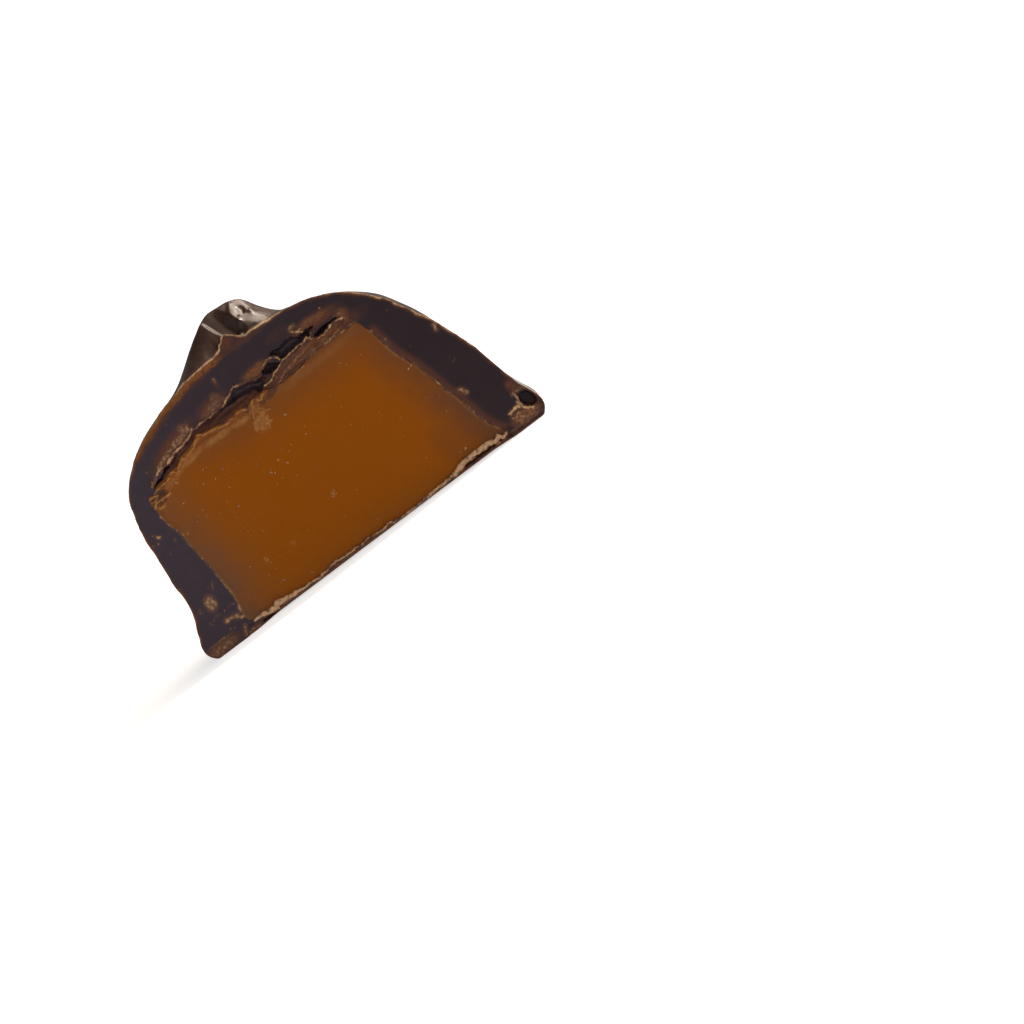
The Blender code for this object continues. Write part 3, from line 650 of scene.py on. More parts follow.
def coatFace(x, z):  # how far the cut lies behind the cut plane
    wx, wz = raggedPlace(x, z)
    depth = 0.08 * grain(x, z, 4.2, 41) + 0.03 * grain(x, z, 1.2, 43) + 0.008 * grain(x, z, 0.33, 47)
    depth += 0.012 * streaks(x, z, 0.5, 3.0, 0.3, 49)
    torn = ease(insideBy(wx, wz, tornLayer), 0.0, 0.15)
    depth += torn * (0.03 + 0.09 * ease(z, 13.9, 14.3) + 0.09 * streaks(x, z, 0.16, 1.5, 0.13, 51))
    depth -= strongestPatch(wx, wz, scuffs) * (0.05 + 0.06 * grain(x, z, 0.2, 53, 2))
    broken = np.clip(0.8 + 0.9 * grain(x, z, 0.6, 55), 0.2, 1.1)
    depth -= cut["lipRise"] * broken * strongest(wx, wz, lips) + 0.05 * strongest(wx, wz, tornLines)
    depth -= 0.12 * strongest(wx, wz, footCrumbs)
    for *dot, strength in wallDots:
        near, rise = hump(x, z, *dot)
        depth[near] -= 0.07 * rise
    lumps = 0.75 + 0.5 * grain(x, z, 0.3, 57, 2)
    away = lineDistance(wx, wz, burr)
    depth -= cut["burrRise"] * lumps * np.exp(-(away / read(burrWidth, x)) ** 2) * (z < 1.6)
    underBurr = (z < np.interp(x, *zip(*burr)) - 0.1) & (np.abs(x) < 12.5)
    depth += np.where(underBurr, 0.16, 0.0)
    ramp = ease(insideBy(wx, wz, crackFloor + crackRoof), 0.0, 0.06)
    floor = np.interp(x, *zip(*crackFloor))
    depth += ramp * (0.14 + 0.35 * np.clip((z - floor) / 0.9, 0, 1) + 0.08 * streaks(x, z, 0.1, 1.5, 0.3, 59))
    for outline in voids:
        inside = insideBy(wx, wz, outline)
        hole = ease(inside, 0.0, 0.07)
        depth = depth + hole * (cut["voidDepth"] * np.clip(0.25 + inside / 0.35, 0, 1) - depth)
    for outline, deep in pits:
        hole = ease(insideBy(wx, wz, outline), 0.0, 0.12)
        depth = depth + hole * deep
    return depth


# The caramel's own marks, drawn the same way

fringe = [
    ([(-11.3, 13.05), (-10.9, 13.15), (-10.4, 13.15), (-10.1, 13.25)], 0.08, 0.95),
    ([(-9.95, 13.1), (-9.9, 12.9)], 0.07, 0.7), ([(-9.9, 12.7), (-9.8, 12.6)], 0.1, 0.7),
    ([(-9.8, 13.4), (-9.6, 13.5), (-9.5, 13.3), (-9.2, 13.25)], 0.07, 0.9),
    ([(-9.1, 13.4), (-8.7, 13.65), (-8.45, 13.85), (-8.3, 13.7), (-7.8, 13.8), (-7.3, 13.95),
      (-7.1, 14.15), (-6.7, 14.3), (-6.5, 14.35)], 0.08, 0.75),
    ([(-6.45, 14.55), (-6.3, 14.5), (-6.05, 14.3), (-5.6, 14.22), (-5.1, 14.15), (-4.7, 14.0),
      (-4.3, 13.9), (-4.0, 13.88)], 0.07, 0.95),
    ([(-5.0, 14.1), (-4.5, 13.95), (-4.1, 13.83)], 0.05, 0.6),
    ([(-3.85, 14.0), (-3.6, 13.95), (-3.4, 13.85)], 0.06, 0.6),
    ([(-3.12, 14.1), (-2.75, 14.05), (-2.5, 13.95), (-2.35, 13.85)], 0.07, 0.9),
    ([(-1.55, 14.4), (-1.6, 14.15), (-1.75, 13.95), (-1.95, 13.6), (-2.15, 13.3), (-2.3, 13.0)],
     0.07, 0.8),
    ([(-1.3, 14.0), (-1.15, 13.88), (-1.0, 13.85), (-0.8, 14.0), (-0.6, 14.05)], 0.08, 0.8),
    ([(-2.6, 13.6), (-2.75, 13.3)], 0.08, 0.6), ([(-1.4, 13.8), (-1.5, 13.4), (-1.3, 13.1)], 0.06, 0.5),
    ([(-1.5, 13.0), (-1.2, 12.95), (-1.0, 12.85)], 0.07, 0.8),
    ([(1.8, 13.7), (2.6, 13.9), (3.1, 13.9)], 0.06, 0.55),
    ([(-12.2, 12.85), (-11.9, 12.8), (-11.6, 12.7)], 0.08, 1.0),
    ([(-12.3, 12.1), (-11.9, 12.35), (-11.4, 12.3), (-10.9, 12.25), (-10.75, 12.3)], 0.09, 1.1),
    ([(-12.05, 11.85), (-11.75, 11.8), (-11.6, 11.75)], 0.09, 1.1),
    ([(-12.3, 12.5), (-12.0, 12.45), (-11.8, 12.55)], 0.07, 0.9),
    ([(-12.0, 9.3), (-11.8, 9.15), (-11.5, 9.1)], 0.06, 0.7),
]
paleAreas = [  # light smears on the caramel
    ((-9.5, 13.0), (0.9, 0.2), 18, 0.5), ((-7.8, 13.42), (1.3, 0.28), 8, 0.7),
    ((-5.3, 13.48), (1.5, 0.3), -2, 0.75), ((-3.3, 13.35), (0.9, 0.3), -5, 0.7),
    ((-2.0, 12.35), (0.85, 0.75), 15, 1.0), ((-1.6, 12.9), (0.5, 0.3), 20, 0.9),
    ((-1.9, 13.5), (0.45, 0.6), 20, 0.55), ((-0.95, 4.84), (0.3, 0.3), 0, 0.55),
    ((-5.6, 3.7), (0.22, 0.2), 0, 0.45), ((-8.0, 3.9), (0.22, 0.24), 0, 0.4),
    ((4.0, 13.5), (3.6, 0.35), 2, 0.2), ((-10.3, 12.8), (0.8, 0.3), 25, 0.35),
]
brownAreas = [  # chocolate smeared over the caramel
    ((-11.6, 12.5), (0.95, 0.65), 10, 1.0), ((-10.8, 13.1), (0.7, 0.22), 15, 0.9),
    ((-2.25, 13.75), (0.35, 0.2), 10, 0.9), ((0.0, 13.75), (0.9, 0.35), 15, 0.8),
    ((-0.9, 13.6), (0.4, 0.3), 0, 0.7), ((4.0, 14.05), (4.6, 0.22), 1, 0.4),
    ((9.2, 2.2), (2.9, 1.9), -55, 0.25),
]


def caramelFace(x, z):
    wx, wz = raggedPlace(x, z)
    depth = 0.05 + 0.1 * grain(x, z, 6.0, 71) + 0.02 * grain(x, z, 1.5, 73) + 0.004 * grain(x, z, 0.3, 77)
    depth += 0.006 * streaks(x, z, 1.45, 2.5, 0.25, 79)
    edge = insideBy(x, z, caramelEdge, 2.0)
    depth -= 0.03 * np.exp(-np.maximum(edge, 0) / 0.2)
    rough = strongestPatch(wx, wz, paleAreas[4:8] + brownAreas[:4])
    depth -= rough * (0.05 + 0.09 * grain(x, z, 0.24, 83, 2))
    depth -= 0.17 * strongest(wx, wz, fringe)
    depth += 0.06 * ridge(wx, wz, [(-7.5, 13.85), (-6.6, 14.05), (-5.8, 14.0), (-5.2, 13.85),
                                   (-4.6, 13.7)], 0.06)
    return depth


def knife(name, face, reach):  # a fine sheet that follows the cut, thickened towards the viewer
    left, right, step = cut["columns"]
    columns = np.arange(left, right, step)
    rows = np.concatenate([np.arange(low, high - 1e-6, pitch) for low, high, pitch in cut["rows"]])
    bpy.ops.object.select_all(action="DESELECT")
    bpy.ops.mesh.primitive_grid_add(x_subdivisions=len(columns) - 1, y_subdivisions=len(rows) - 1, size=1)
    blade = lastMade(name)
    flat = coordinates(blade)
    x = columns[np.rint((flat[:, 0] + 0.5) * (len(columns) - 1)).astype(int)]
    z = rows[np.rint((flat[:, 1] + 0.5) * (len(rows) - 1)).astype(int)]
    setCoordinates(blade, np.column_stack((x, face(x, z), z)) * mm)
    bpy.ops.object.mode_set(mode="EDIT")
    bpy.ops.mesh.select_all(action="SELECT")
    bpy.ops.mesh.extrude_region_move(TRANSFORM_OT_translate={"value": (0, -reach * mm, 0)})
    bpy.ops.object.mode_set(mode="OBJECT")
    places = coordinates(blade)
    picked = np.empty(len(places), bool)
    blade.data.vertices.foreach_get("select", picked)
    places[picked, 1] = -reach * mm
    setCoordinates(blade, places)
    bpy.ops.object.mode_set(mode="EDIT")
    facedOutwards()
    return blade


def plug(name, outline, stations, front):  # the outline run back into the candy, narrowing as it goes
    bpy.ops.object.select_all(action="DESELECT")
    bpy.ops.mesh.primitive_circle_add(vertices=len(outline), radius=1, fill_type="NGON")
    body = lastMade(name)
    setCoordinates(body, np.array([(x, front, z) for x, z in outline]) * mm)
    bpy.ops.object.mode_set(mode="EDIT")
    bpy.ops.mesh.select_all(action="SELECT")
    last, width, height = front, 1.0, 1.0
    for depth, newWidth, newHeight in stations:
        bpy.ops.mesh.extrude_region_move(TRANSFORM_OT_translate={"value": (0, (depth - last) * mm, 0)})
        bpy.ops.transform.resize(value=(newWidth / width, 1, newHeight / height),
                                 center_override=(0, 0, outline[0][1] * mm))
        last, width, height = depth, newWidth, newHeight
    facedOutwards()
    return body


def fineOutline(points, step, ragged, grow):  # resampled evenly, a little uneven, and grown outwards
    closed = np.array(points + [points[0]])
    along = np.concatenate(([0], np.cumsum(np.hypot(*np.diff(closed, axis=0).T))))
    places = np.arange(0, along[-1], step)
    x, z = np.interp(places, along, closed[:, 0]), np.interp(places, along, closed[:, 1])
    tx, tz = np.roll(x, -3) - np.roll(x, 3), np.roll(z, -3) - np.roll(z, 3)
    size = np.hypot(tx, tz)
    out = grow + ragged * grain(x, z, 0.5, 91, 2)
    return list(zip(x + tz / size * out, z - tx / size * out))


# Tiny crumbs the knife dragged over the caramel: one crumb is shaped, then copied, and all are joined

crumbs = {
    "shapes": 4,
    # x, z, radius
    "placed": (
        (-7.7, 12.2, 0.1), (-7.4, 12.2, 0.07), (-8.3, 11.35, 0.09), (-6.5, 11.35, 0.11),
        (-6.4, 11.5, 0.07), (-7.35, 11.1, 0.07), (-5.25, 11.0, 0.07), (-6.85, 10.65, 0.07),
        (-6.9, 9.95, 0.07), (-4.2, 10.1, 0.08), (-2.75, 9.4, 0.1), (-2.0, 9.9, 0.1),
        (-1.25, 9.7, 0.07), (-1.65, 9.4, 0.07), (-3.75, 8.95, 0.13), (-3.5, 8.75, 0.1),
        (-3.6, 9.1, 0.07), (-2.3, 8.8, 0.12), (0.1, 9.7, 0.1), (0.4, 10.2, 0.07),
        (-0.25, 11.8, 0.11), (-7.2, 8.4, 0.11), (-7.7, 9.15, 0.07), (-8.6, 8.85, 0.07),
        (-2.3, 7.6, 0.07), (9.25, 8.95, 0.11), (9.55, 9.05, 0.1), (9.6, 4.65, 0.1),
        (-10.4, 11.05, 0.09), (-10.4, 9.3, 0.06), (-9.6, 9.25, 0.06), (-9.55, 9.8, 0.06),
        (9.1, 1.55, 0.13), (8.6, 1.55, 0.08), (-8.15, 1.82, 0.1), (-7.9, 1.9, 0.1),
        (-7.78, 1.76, 0.08), (-5.82, 1.1, 0.09), (-5.72, 0.95, 0.08), (-8.6, 1.0, 0.08),
        (-10.4, 2.05, 0.08), (-0.95, 4.84, 0.1), (-1.15, 4.7, 0.08), (-0.8, 5.0, 0.08),
        (-0.75, 4.7, 0.07), (-8.05, 4.05, 0.08), (-7.95, 3.8, 0.07), (-5.6, 3.7, 0.08),
        (-9.3, 4.2, 0.08), (3.5, 9.7, 0.06), (3.3, 8.2, 0.06), (5.4, 12.4, 0.06),
        (7.2, 13.7, 0.08), (6.9, 13.6, 0.06), (-9.9, 12.65, 0.1), (-12.0, 9.25, 0.08),
    ),
    "lines": (((-7.85, 2.5), (-7.85, 9.3), 26), ((-6.9, 5.5), (-6.85, 8.0), 8)),
    "loose": 110,
    "looseOver": ((-11.3, 10.5), (0.9, 13.6)),  # the part of the caramel that they are scattered over
    "scale": 0.82,
    "seed": 7,
}


def crumbShape(number):
    bpy.ops.object.select_all(action="DESELECT")
    bpy.ops.mesh.primitive_ico_sphere_add(subdivisions=2, radius=1)
    shape = lastMade("crumbShape")
    places = coordinates(shape)
    bumps = np.array([noise.noise(Vector(p) * 1.4 + Vector((9.1 * number, 0, 0))) for p in places])
    places *= (1 + 0.7 * bumps[:, None])
    setCoordinates(shape, places * (1.0, 0.6, 0.8))
    return shape


def scatterCrumbs():
    rng = random.Random(crumbs["seed"])
    spots = list(crumbs["placed"])
    for (ax, az), (bx, bz), count in crumbs["lines"]:
        for i in range(count):
            share = rng.random()
            spots.append((ax + (bx - ax) * share + rng.gauss(0, 0.03), az + (bz - az) * share,
                          rng.uniform(0.018, 0.045)))
    for i in range(crumbs["loose"]):
        x, z = (rng.uniform(*span) for span in crumbs["looseOver"])
        spots.append((x, z, rng.uniform(0.02, 0.055)))
    xs, zs = np.array([s[0] for s in spots]), np.array([s[1] for s in spots])
    within = insideBy(xs, zs, caramelEdge, 1.5) > 0.1
    depths = caramelFace(xs, zs)
    shapes = [crumbShape(i) for i in range(crumbs["shapes"])]
    copies = []
    for (x, z, radius), ok, depth in zip(spots, within, depths):
        if not ok:
            continue
        copy = rng.choice(shapes).copy()
        copy.data = copy.data.copy()
        bpy.context.collection.objects.link(copy)
        turn = Matrix.Rotation(rng.uniform(0, 6.28), 3, "Y")
        radius *= crumbs["scale"]
        size = Matrix.Diagonal((radius * rng.uniform(0.9, 1.4), radius, radius * rng.uniform(0.6, 1.0)))
        place = np.array(turn @ size)
        setCoordinates(copy, (coordinates(copy) @ place.T + (x, depth - 0.15 * radius, z)) * mm)
        copies.append(copy)
    for shape in shapes:
        bpy.data.objects.remove(shape, do_unlink=True)
    selectOnly(copies[0])
    for copy in copies:
        copy.select_set(True)
    bpy.ops.object.join()
    return lastMade("caramelCrumbs")


# Marks that the materials read, worked out for each point of the cut

def addMark(obj, name, values):
    layer = obj.data.attributes.new(name, "FLOAT", "POINT")
    layer.data.foreach_set("value", np.clip(values, 0, 1).astype(np.float32))


def rimDistance(obj, places):  # distance to the outer edge of the cut, where its faces meet the shell's
    shellVerts, cutVerts = set(), set()
    for face in obj.data.polygons:
        (cutVerts if face.material_index else shellVerts).update(face.vertices)
    edge = sorted(shellVerts & cutVerts)
    tree = KDTree(len(edge))
    for i in edge:
        tree.insert(places[i], i)
    tree.balance()
    return np.array([tree.find(p)[2] for p in places])


def markCoat(obj):
    places = coordinates(obj) / mm
    x, y, z = places.T
    wx, wz = raggedPlace(x, z)
    onCut = y < 3.2
    speckle = grain(x, z, 0.2, 101, 2)
    broad = grain(x, z, 0.9, 103, 2)
    broken = np.clip(0.78 + 0.9 * grain(x, z, 0.6, 55) + 0.6 * speckle, 0.15, 1.1)
    scuff = np.maximum(strongest(wx, wz, lips), 1.2 * strongest(wx, wz, tornLines)) * broken
    scuff = np.maximum(scuff, strongest(wx, wz, footCrumbs) * (0.95 + 0.4 * speckle))
    scuff = np.maximum(scuff, strongestPatch(wx, wz, scuffs) * np.clip(0.85 + 0.4 * speckle, 0, 1.2))
    for *dot, strength in wallDots:
        near, rise = hump(x, z, *dot)
        scuff[near] = np.maximum(scuff[near], strength * rise)
    away = lineDistance(wx, wz, burr)
    burrMark = np.exp(-(away / read(burrWidth, x)) ** 2) * read(burrTan, x) * (z < 1.6)
    burrMark *= 1.0 + 0.6 * speckle + 0.6 * broad
    scuff = np.maximum(scuff, burrMark)
    for seam, strength in ((leftSeam, 0.42), (rightSeam, 0.28)):
        line = np.exp(-(lineDistance(wx, wz, seam) / 0.07) ** 2)
        scuff = np.maximum(scuff, line * np.clip(strength + 0.5 * broad + 0.4 * speckle, 0, 1))
    rim = rimDistance(obj, places)
    overCrown = ease(z, 17.75, 17.95) * ease(x, -6.2, -5.6) * (1 - ease(x, 4.0, 4.6))
    rightRim = ease(x, 7.0, 9.5) * ease(z, 7.5, 9.5)
    rimWide = 0.06 + 0.03 * broad + (0.05 + 0.12 * ease(y, 0.0, 0.2)) * rightRim + 0.035 * overCrown
    rimBright = 0.42 + 0.35 * speckle + 0.3 * broad + 0.5 * overCrown + 0.35 * rightRim
    scuff = np.maximum(scuff, np.exp(-(rim / rimWide) ** 2) * rimBright)
    torn = ease(insideBy(wx, wz, tornLayer), 0.0, 0.15)
    scuff = np.maximum(scuff, torn * np.clip(0.65 * streaks(x, z, 0.16, 1.6, 0.1, 51), 0, 1) * 0.7)
    deepness = ease(y, 0.35, 1.0)
    scuff = scuff * (1 - deepness)
    warm = strongestPatch(wx, wz, warmAreas) * np.clip(0.9 + 0.5 * speckle + 0.4 * broad, 0, 1)
    upperLeft = ease(z, 15.0, 16.5) * (1 - ease(x, -3.5, -1.0))
    band = np.exp(-(rim / (0.16 + 0.3 * upperLeft + 0.08 * broad)) ** 2)
    warm = np.maximum(warm, band * (0.7 + 0.3 * upperLeft + 0.25 * broad))
    band = np.exp(-(lineDistance(x, z, [(px + 0.25, pz) for px, pz in rightSeam]) / 0.28) ** 2)
    warm = np.maximum(warm, 0.45 * band)
    ramp = ease(insideBy(wx, wz, crackFloor + crackRoof), 0.0, 0.1)
    floor = np.interp(x, *zip(*crackFloor))
    warm = np.maximum(warm, ramp * (0.66 - 0.3 * np.clip((z - floor) / 0.6, 0, 1) + 0.2 * speckle))
    hole = np.zeros(len(x))
    for outline in voids:
        hole = np.maximum(hole, ease(insideBy(wx, wz, outline), -0.02, 0.06))
    addMark(obj, "scuff", np.where(onCut, scuff, 0))
    addMark(obj, "warm", np.where(onCut, warm * (1 - hole), 0))
    # painted light: the far walls of the voids get a lighter colour that lifts the shade falling in them
    addMark(obj, "paintedVoidLight", hole * ease(y, 0.3, 1.0))
    # painted sheen: the cut's colour turns lighter and bluer towards its left, standing in for reflected
    # light there
    paintedSheen = np.interp(x, (-14, -11, -5, 2, 7, 10), (0.95, 0.85, 0.5, 0.25, 0.15, 0.0))
    addMark(obj, "paintedSheen", paintedSheen * (1 + 0.12 * broad))


def markCaramel(obj):
    x, y, z = (coordinates(obj) / mm).T
    wx, wz = raggedPlace(x, z)
    speckle = grain(x, z, 0.2, 111, 2)
    broad = grain(x, z, 1.6, 113, 2)
    pale = strongest(wx, wz, fringe) * np.clip(1.0 + 0.7 * speckle, 0.3, 1.2)
    for centre, half, tilt, strength in paleAreas:
        soft = patch(wx, wz, centre, half, tilt)
        if strength > 0.8:  # a thick smear: sharp-edged and crumbly
            soft = np.clip((soft - 0.45 + 0.55 * speckle) * 3, 0, 1) * 0.8
        pale = np.maximum(pale, soft * strength * np.clip(0.62 + 0.6 * speckle, 0, 1.2))
    smearAndTopShade = np.zeros(len(x))
    for centre, half, tilt, strength in brownAreas:
        soft = patch(wx, wz, centre, half, tilt) * strength
        if strength > 0.8:
            soft = np.clip((soft - 0.4 + 0.6 * speckle) * 3, 0, 1)
        smearAndTopShade = np.maximum(smearAndTopShade, soft * np.clip(0.95 + 0.5 * speckle, 0, 1.2))
    edge = np.maximum(insideBy(x, z, caramelEdge, 6.0), 0)
    left = np.exp(-(np.abs(x + 11.9) / 2.2) ** 1.5) * (0.9 - 0.3 * ease(z, 4, 11))
    right = np.exp(-(lineDistance(x, z, rightSeam) / 1.2) ** 1.5) * (0.6 - 0.3 * ease(z, 3, 9))
    top = np.exp(-(np.abs(z - 14.0) / 1.4) ** 1.6) * 0.42
    base = np.exp(-(np.abs(z - 0.6) / 1.3) ** 1.6) * 0.12
    deeper = np.exp(-(lineDistance(x, z, rightSeam) / 2.2) ** 2.5)
    deeper *= 0.56 - 0.2 * ease(z, 2, 8) + 0.1 * broad
    smearAndTopShade = np.maximum(smearAndTopShade, deeper)
    # painted shade: the caramel is darkened towards its top, right of x = -4 mm, against the overhead light
    # that falls there
    smearAndTopShade = np.maximum(smearAndTopShade, 0.2 * ease(z, 9.5, 13.5) * ease(x, -9.0, -4.0))
    haze = np.maximum(np.maximum(left, right), np.maximum(top, base)) * (1 + 0.25 * broad)
    line = np.exp(-(edge / 0.09) ** 2) * np.clip(0.3 + 0.5 * broad + 0.3 * speckle, 0, 1)
    line *= (z > 1.2) & (z < 13.2)
    addMark(obj, "pale", np.maximum(pale, line))
    sides = ease(z, 1.3, 2.0) * (1 - ease(z, 12.8, 13.5))
    addMark(obj, "smearAndTopShade", np.maximum(smearAndTopShade, sides * np.exp(-(edge / 0.25) ** 2) * (0.25 + 0.3 * broad)))
    addMark(obj, "haze", haze)


# Materials

def newMaterial(name):
    material = bpy.data.materials.new(name)
    material.use_nodes = True
    tree = material.node_tree
    return material, tree, tree.nodes["Principled BSDF"]


def textured(tree, kind, scale, **settings):  # a texture on Object coordinates; the scale is per metre
    place = tree.nodes.get("place") or tree.nodes.new("ShaderNodeTexCoord")
    place.name = "place"
    texture = tree.nodes.new(kind)
    texture.inputs["Scale"].default_value = scale
    for key, value in settings.items():
        texture.inputs[key].default_value = value
    tree.links.new(place.outputs["Object"], texture.inputs["Vector"])
    return texture


def mark(tree, name):
    layer = tree.nodes.new("ShaderNodeAttribute")
    layer.attribute_name = name
    return layer.outputs["Fac"]


def arithmetic(tree, operation, first, second, third=None):
    step = tree.nodes.new("ShaderNodeMath")
    step.operation = operation
    for socket, value in zip(step.inputs, (first, second, third)):
        if isinstance(value, (int, float)):
            socket.default_value = value
        elif value is not None:
            tree.links.new(value, socket)
    return step.outputs[0]


def mapped(tree, value, low, high, start=0.0, end=1.0):
    step = tree.nodes.new("ShaderNodeMapRange")
    for name, number in (("From Min", low), ("From Max", high), ("To Min", start), ("To Max", end)):
        step.inputs[name].default_value = number
    tree.links.new(value, step.inputs["Value"])
    return step.outputs[0]


def tinted(tree, share, first, second):
    blend = tree.nodes.new("ShaderNodeMix")
    blend.data_type = "RGBA"
    for socket, value in ((blend.inputs[6], first), (blend.inputs[7], second), (blend.inputs[0], share)):
        if isinstance(value, tuple):
            socket.default_value = (*value, 1)
        elif isinstance(value, (int, float)):
            socket.default_value = value
        else:
            tree.links.new(value, socket)
    return blend.outputs[2]


def bumped(tree, shader, layers):
    normal = None
    for height, strength, distance in layers:
        bump = tree.nodes.new("ShaderNodeBump")
        bump.inputs["Strength"].default_value = strength
        bump.inputs["Distance"].default_value = distance * mm
        tree.links.new(height, bump.inputs["Height"])
        if normal:
            tree.links.new(normal, bump.inputs["Normal"])
        normal = bump.outputs["Normal"]
    tree.links.new(normal, shader.inputs["Normal"])


finishes = {
    "shell": (0.0245, 0.0108, 0.0076),
    "shellBrown": (0.042, 0.0175, 0.0100),
    "cutDark": (0.0140, 0.0072, 0.0098),
    # the colour of the painted sheen on the left of the cut
    "cutPaintedSheen": (0.031, 0.0210, 0.0290),
    "cutRed": (0.066, 0.021, 0.0105),
    "cutAmber": (0.15, 0.050, 0.006),
    # the lighter colour of the painted light deep inside the voids
    "cutVoidPaintedLight": (0.066, 0.043, 0.052),
    "scuffBrown": (0.117, 0.054, 0.026),
    "scuffTan": (0.45, 0.27, 0.145),
    "caramel": (0.199, 0.0515, 0.0002),
    "caramelEdge": (0.103, 0.051, 0.027),
    "caramelPale": (0.30, 0.140, 0.045),
    "caramelBrown": (0.055, 0.026, 0.016),
    "crumb": (0.30, 0.165, 0.085),
}


def shellMaterial():  # the outside of the dip: satin dark chocolate with a faint bloom and finger rubs
    material, tree, shader = newMaterial("shellChocolate")
    cloud = textured(tree, "ShaderNodeTexNoise", 260, Detail=3)
    fine = textured(tree, "ShaderNodeTexNoise", 2600, Detail=4)
    rub = textured(tree, "ShaderNodeTexNoise", 700, Detail=2, Distortion=0.6)
    colour = tinted(tree, mapped(tree, cloud.outputs["Fac"], 0.42, 0.68), finishes["shell"],
                    finishes["shellBrown"])
    colour = tinted(tree, mark(tree, "scuff"), colour, finishes["scuffTan"])
    tree.links.new(colour, shader.inputs["Base Color"])
    rough = mapped(tree, rub.outputs["Fac"], 0.3, 0.7, 0.36, 0.46)
    tree.links.new(rough, shader.inputs["Roughness"])
    shader.inputs["Specular IOR Level"].default_value = 0.45
    shader.inputs["Coat Weight"].default_value = 0.22
    shader.inputs["Coat Roughness"].default_value = 0.08
    bumped(tree, shader, ((cloud.outputs["Fac"], 0.25, 0.5), (fine.outputs["Fac"], 0.2, 0.02)))
    return material


def cutMaterial():  # sliced chocolate: dark and matt, tan where it tore or was scraped
    material, tree, shader = newMaterial("cutChocolate")
    cloud = textured(tree, "ShaderNodeTexNoise", 420, Detail=3)
    fine = textured(tree, "ShaderNodeTexNoise", 3600, Detail=3)
    crumb = textured(tree, "ShaderNodeTexVoronoi", 5200)
    scuff, warm = mark(tree, "scuff"), mark(tree, "warm")
    grained = arithmetic(tree, "MULTIPLY", scuff, mapped(tree, fine.outputs["Fac"], 0.3, 0.6, 0.6, 1.2))
    red = arithmetic(tree, "MULTIPLY", warm, mapped(tree, cloud.outputs["Fac"], 0.3, 0.6, 0.8, 1.1))
    # painted sheen: a lighter, bluer colour towards the left of the cut
    colour = tinted(tree, mark(tree, "paintedSheen"), finishes["cutDark"], finishes["cutPaintedSheen"])
    colour = tinted(tree, mapped(tree, red, 0.0, 0.55), colour, finishes["cutRed"])
    colour = tinted(tree, mapped(tree, red, 0.5, 1.0), colour, finishes["cutAmber"])
    colour = tinted(tree, mapped(tree, grained, 0.0, 0.5), colour, finishes["scuffBrown"])
    colour = tinted(tree, mapped(tree, grained, 0.35, 1.0), colour, finishes["scuffTan"])
    # painted light: a lighter colour deep in the voids, lifting their shade
    colour = tinted(tree, mark(tree, "paintedVoidLight"), colour, finishes["cutVoidPaintedLight"])
    tree.links.new(colour, shader.inputs["Base Color"])
    rough = mapped(tree, cloud.outputs["Fac"], 0.3, 0.7, 0.42, 0.56)
    tree.links.new(arithmetic(tree, "ADD", rough, arithmetic(tree, "MULTIPLY", scuff, 0.3)),
                   shader.inputs["Roughness"])
    shader.inputs["Specular IOR Level"].default_value = 0.12
    bumped(tree, shader, ((cloud.outputs["Fac"], 0.15, 0.15), (fine.outputs["Fac"], 0.3, 0.02),
                          (crumb.outputs["Distance"], 0.12, 0.03)))
    return material


def caramelMaterial():  # soft, dense caramel, clearer in the middle and hazed towards its edges
    material, tree, shader = newMaterial("caramel")
    cloud = textured(tree, "ShaderNodeTexNoise", 300, Detail=3)
    fine = textured(tree, "ShaderNodeTexNoise", 3000, Detail=4)
    haze = arithmetic(tree, "MULTIPLY", mark(tree, "haze"),
                      mapped(tree, cloud.outputs["Fac"], 0.3, 0.7, 0.8, 1.1))
    colour = tinted(tree, haze, finishes["caramel"], finishes["caramelEdge"])
    # brown smears on the caramel, with painted shade towards its top
    colour = tinted(tree, mark(tree, "smearAndTopShade"), colour, finishes["caramelBrown"])
    pale = arithmetic(tree, "MULTIPLY", mark(tree, "pale"),
                      mapped(tree, fine.outputs["Fac"], 0.3, 0.6, 0.7, 1.1))
    colour = tinted(tree, pale, colour, finishes["caramelPale"])
    tree.links.new(colour, shader.inputs["Base Color"])
    tree.links.new(mapped(tree, cloud.outputs["Fac"], 0.3, 0.7, 0.45, 0.6), shader.inputs["Roughness"])
    shader.inputs["Specular IOR Level"].default_value = 0.04
    shader.inputs["Subsurface Weight"].default_value = 0.25
    shader.inputs["Subsurface Radius"].default_value = (1.0, 0.4, 0.1)
    shader.inputs["Subsurface Scale"].default_value = 1.2 * mm
    bumped(tree, shader, ((cloud.outputs["Fac"], 0.2, 0.3), (fine.outputs["Fac"], 0.15, 0.015)))
    return material


def crumbMaterial():
    material, tree, shader = newMaterial("crumb")
    fine = textured(tree, "ShaderNodeTexNoise", 4000, Detail=2)
    each = textured(tree, "ShaderNodeTexNoise", 900)
    colour = tinted(tree, mapped(tree, each.outputs["Fac"], 0.4, 0.6), finishes["crumb"], (0.2, 0.09, 0.035))
    tree.links.new(colour, shader.inputs["Base Color"])
    tree.links.new(mapped(tree, fine.outputs["Fac"], 0.3, 0.7, 0.5, 0.7), shader.inputs["Roughness"])
    shader.inputs["Specular IOR Level"].default_value = 0.3
    bumped(tree, shader, ((fine.outputs["Fac"], 0.3, 0.02),))
    return material


def floorMaterial():
    material, tree, shader = newMaterial("paleFloor")
    shader.inputs["Base Color"].default_value = (0.6, 0.61, 0.62, 1)
    shader.inputs["Emission Color"].default_value = (1, 1, 1, 1)
    shader.inputs["Emission Strength"].default_value = 0.62  # a light table, so the shadow stays faint
    shader.inputs["Roughness"].default_value = 0.8
    shader.inputs["Specular IOR Level"].default_value = 0.1
    return material


# Making the pieces

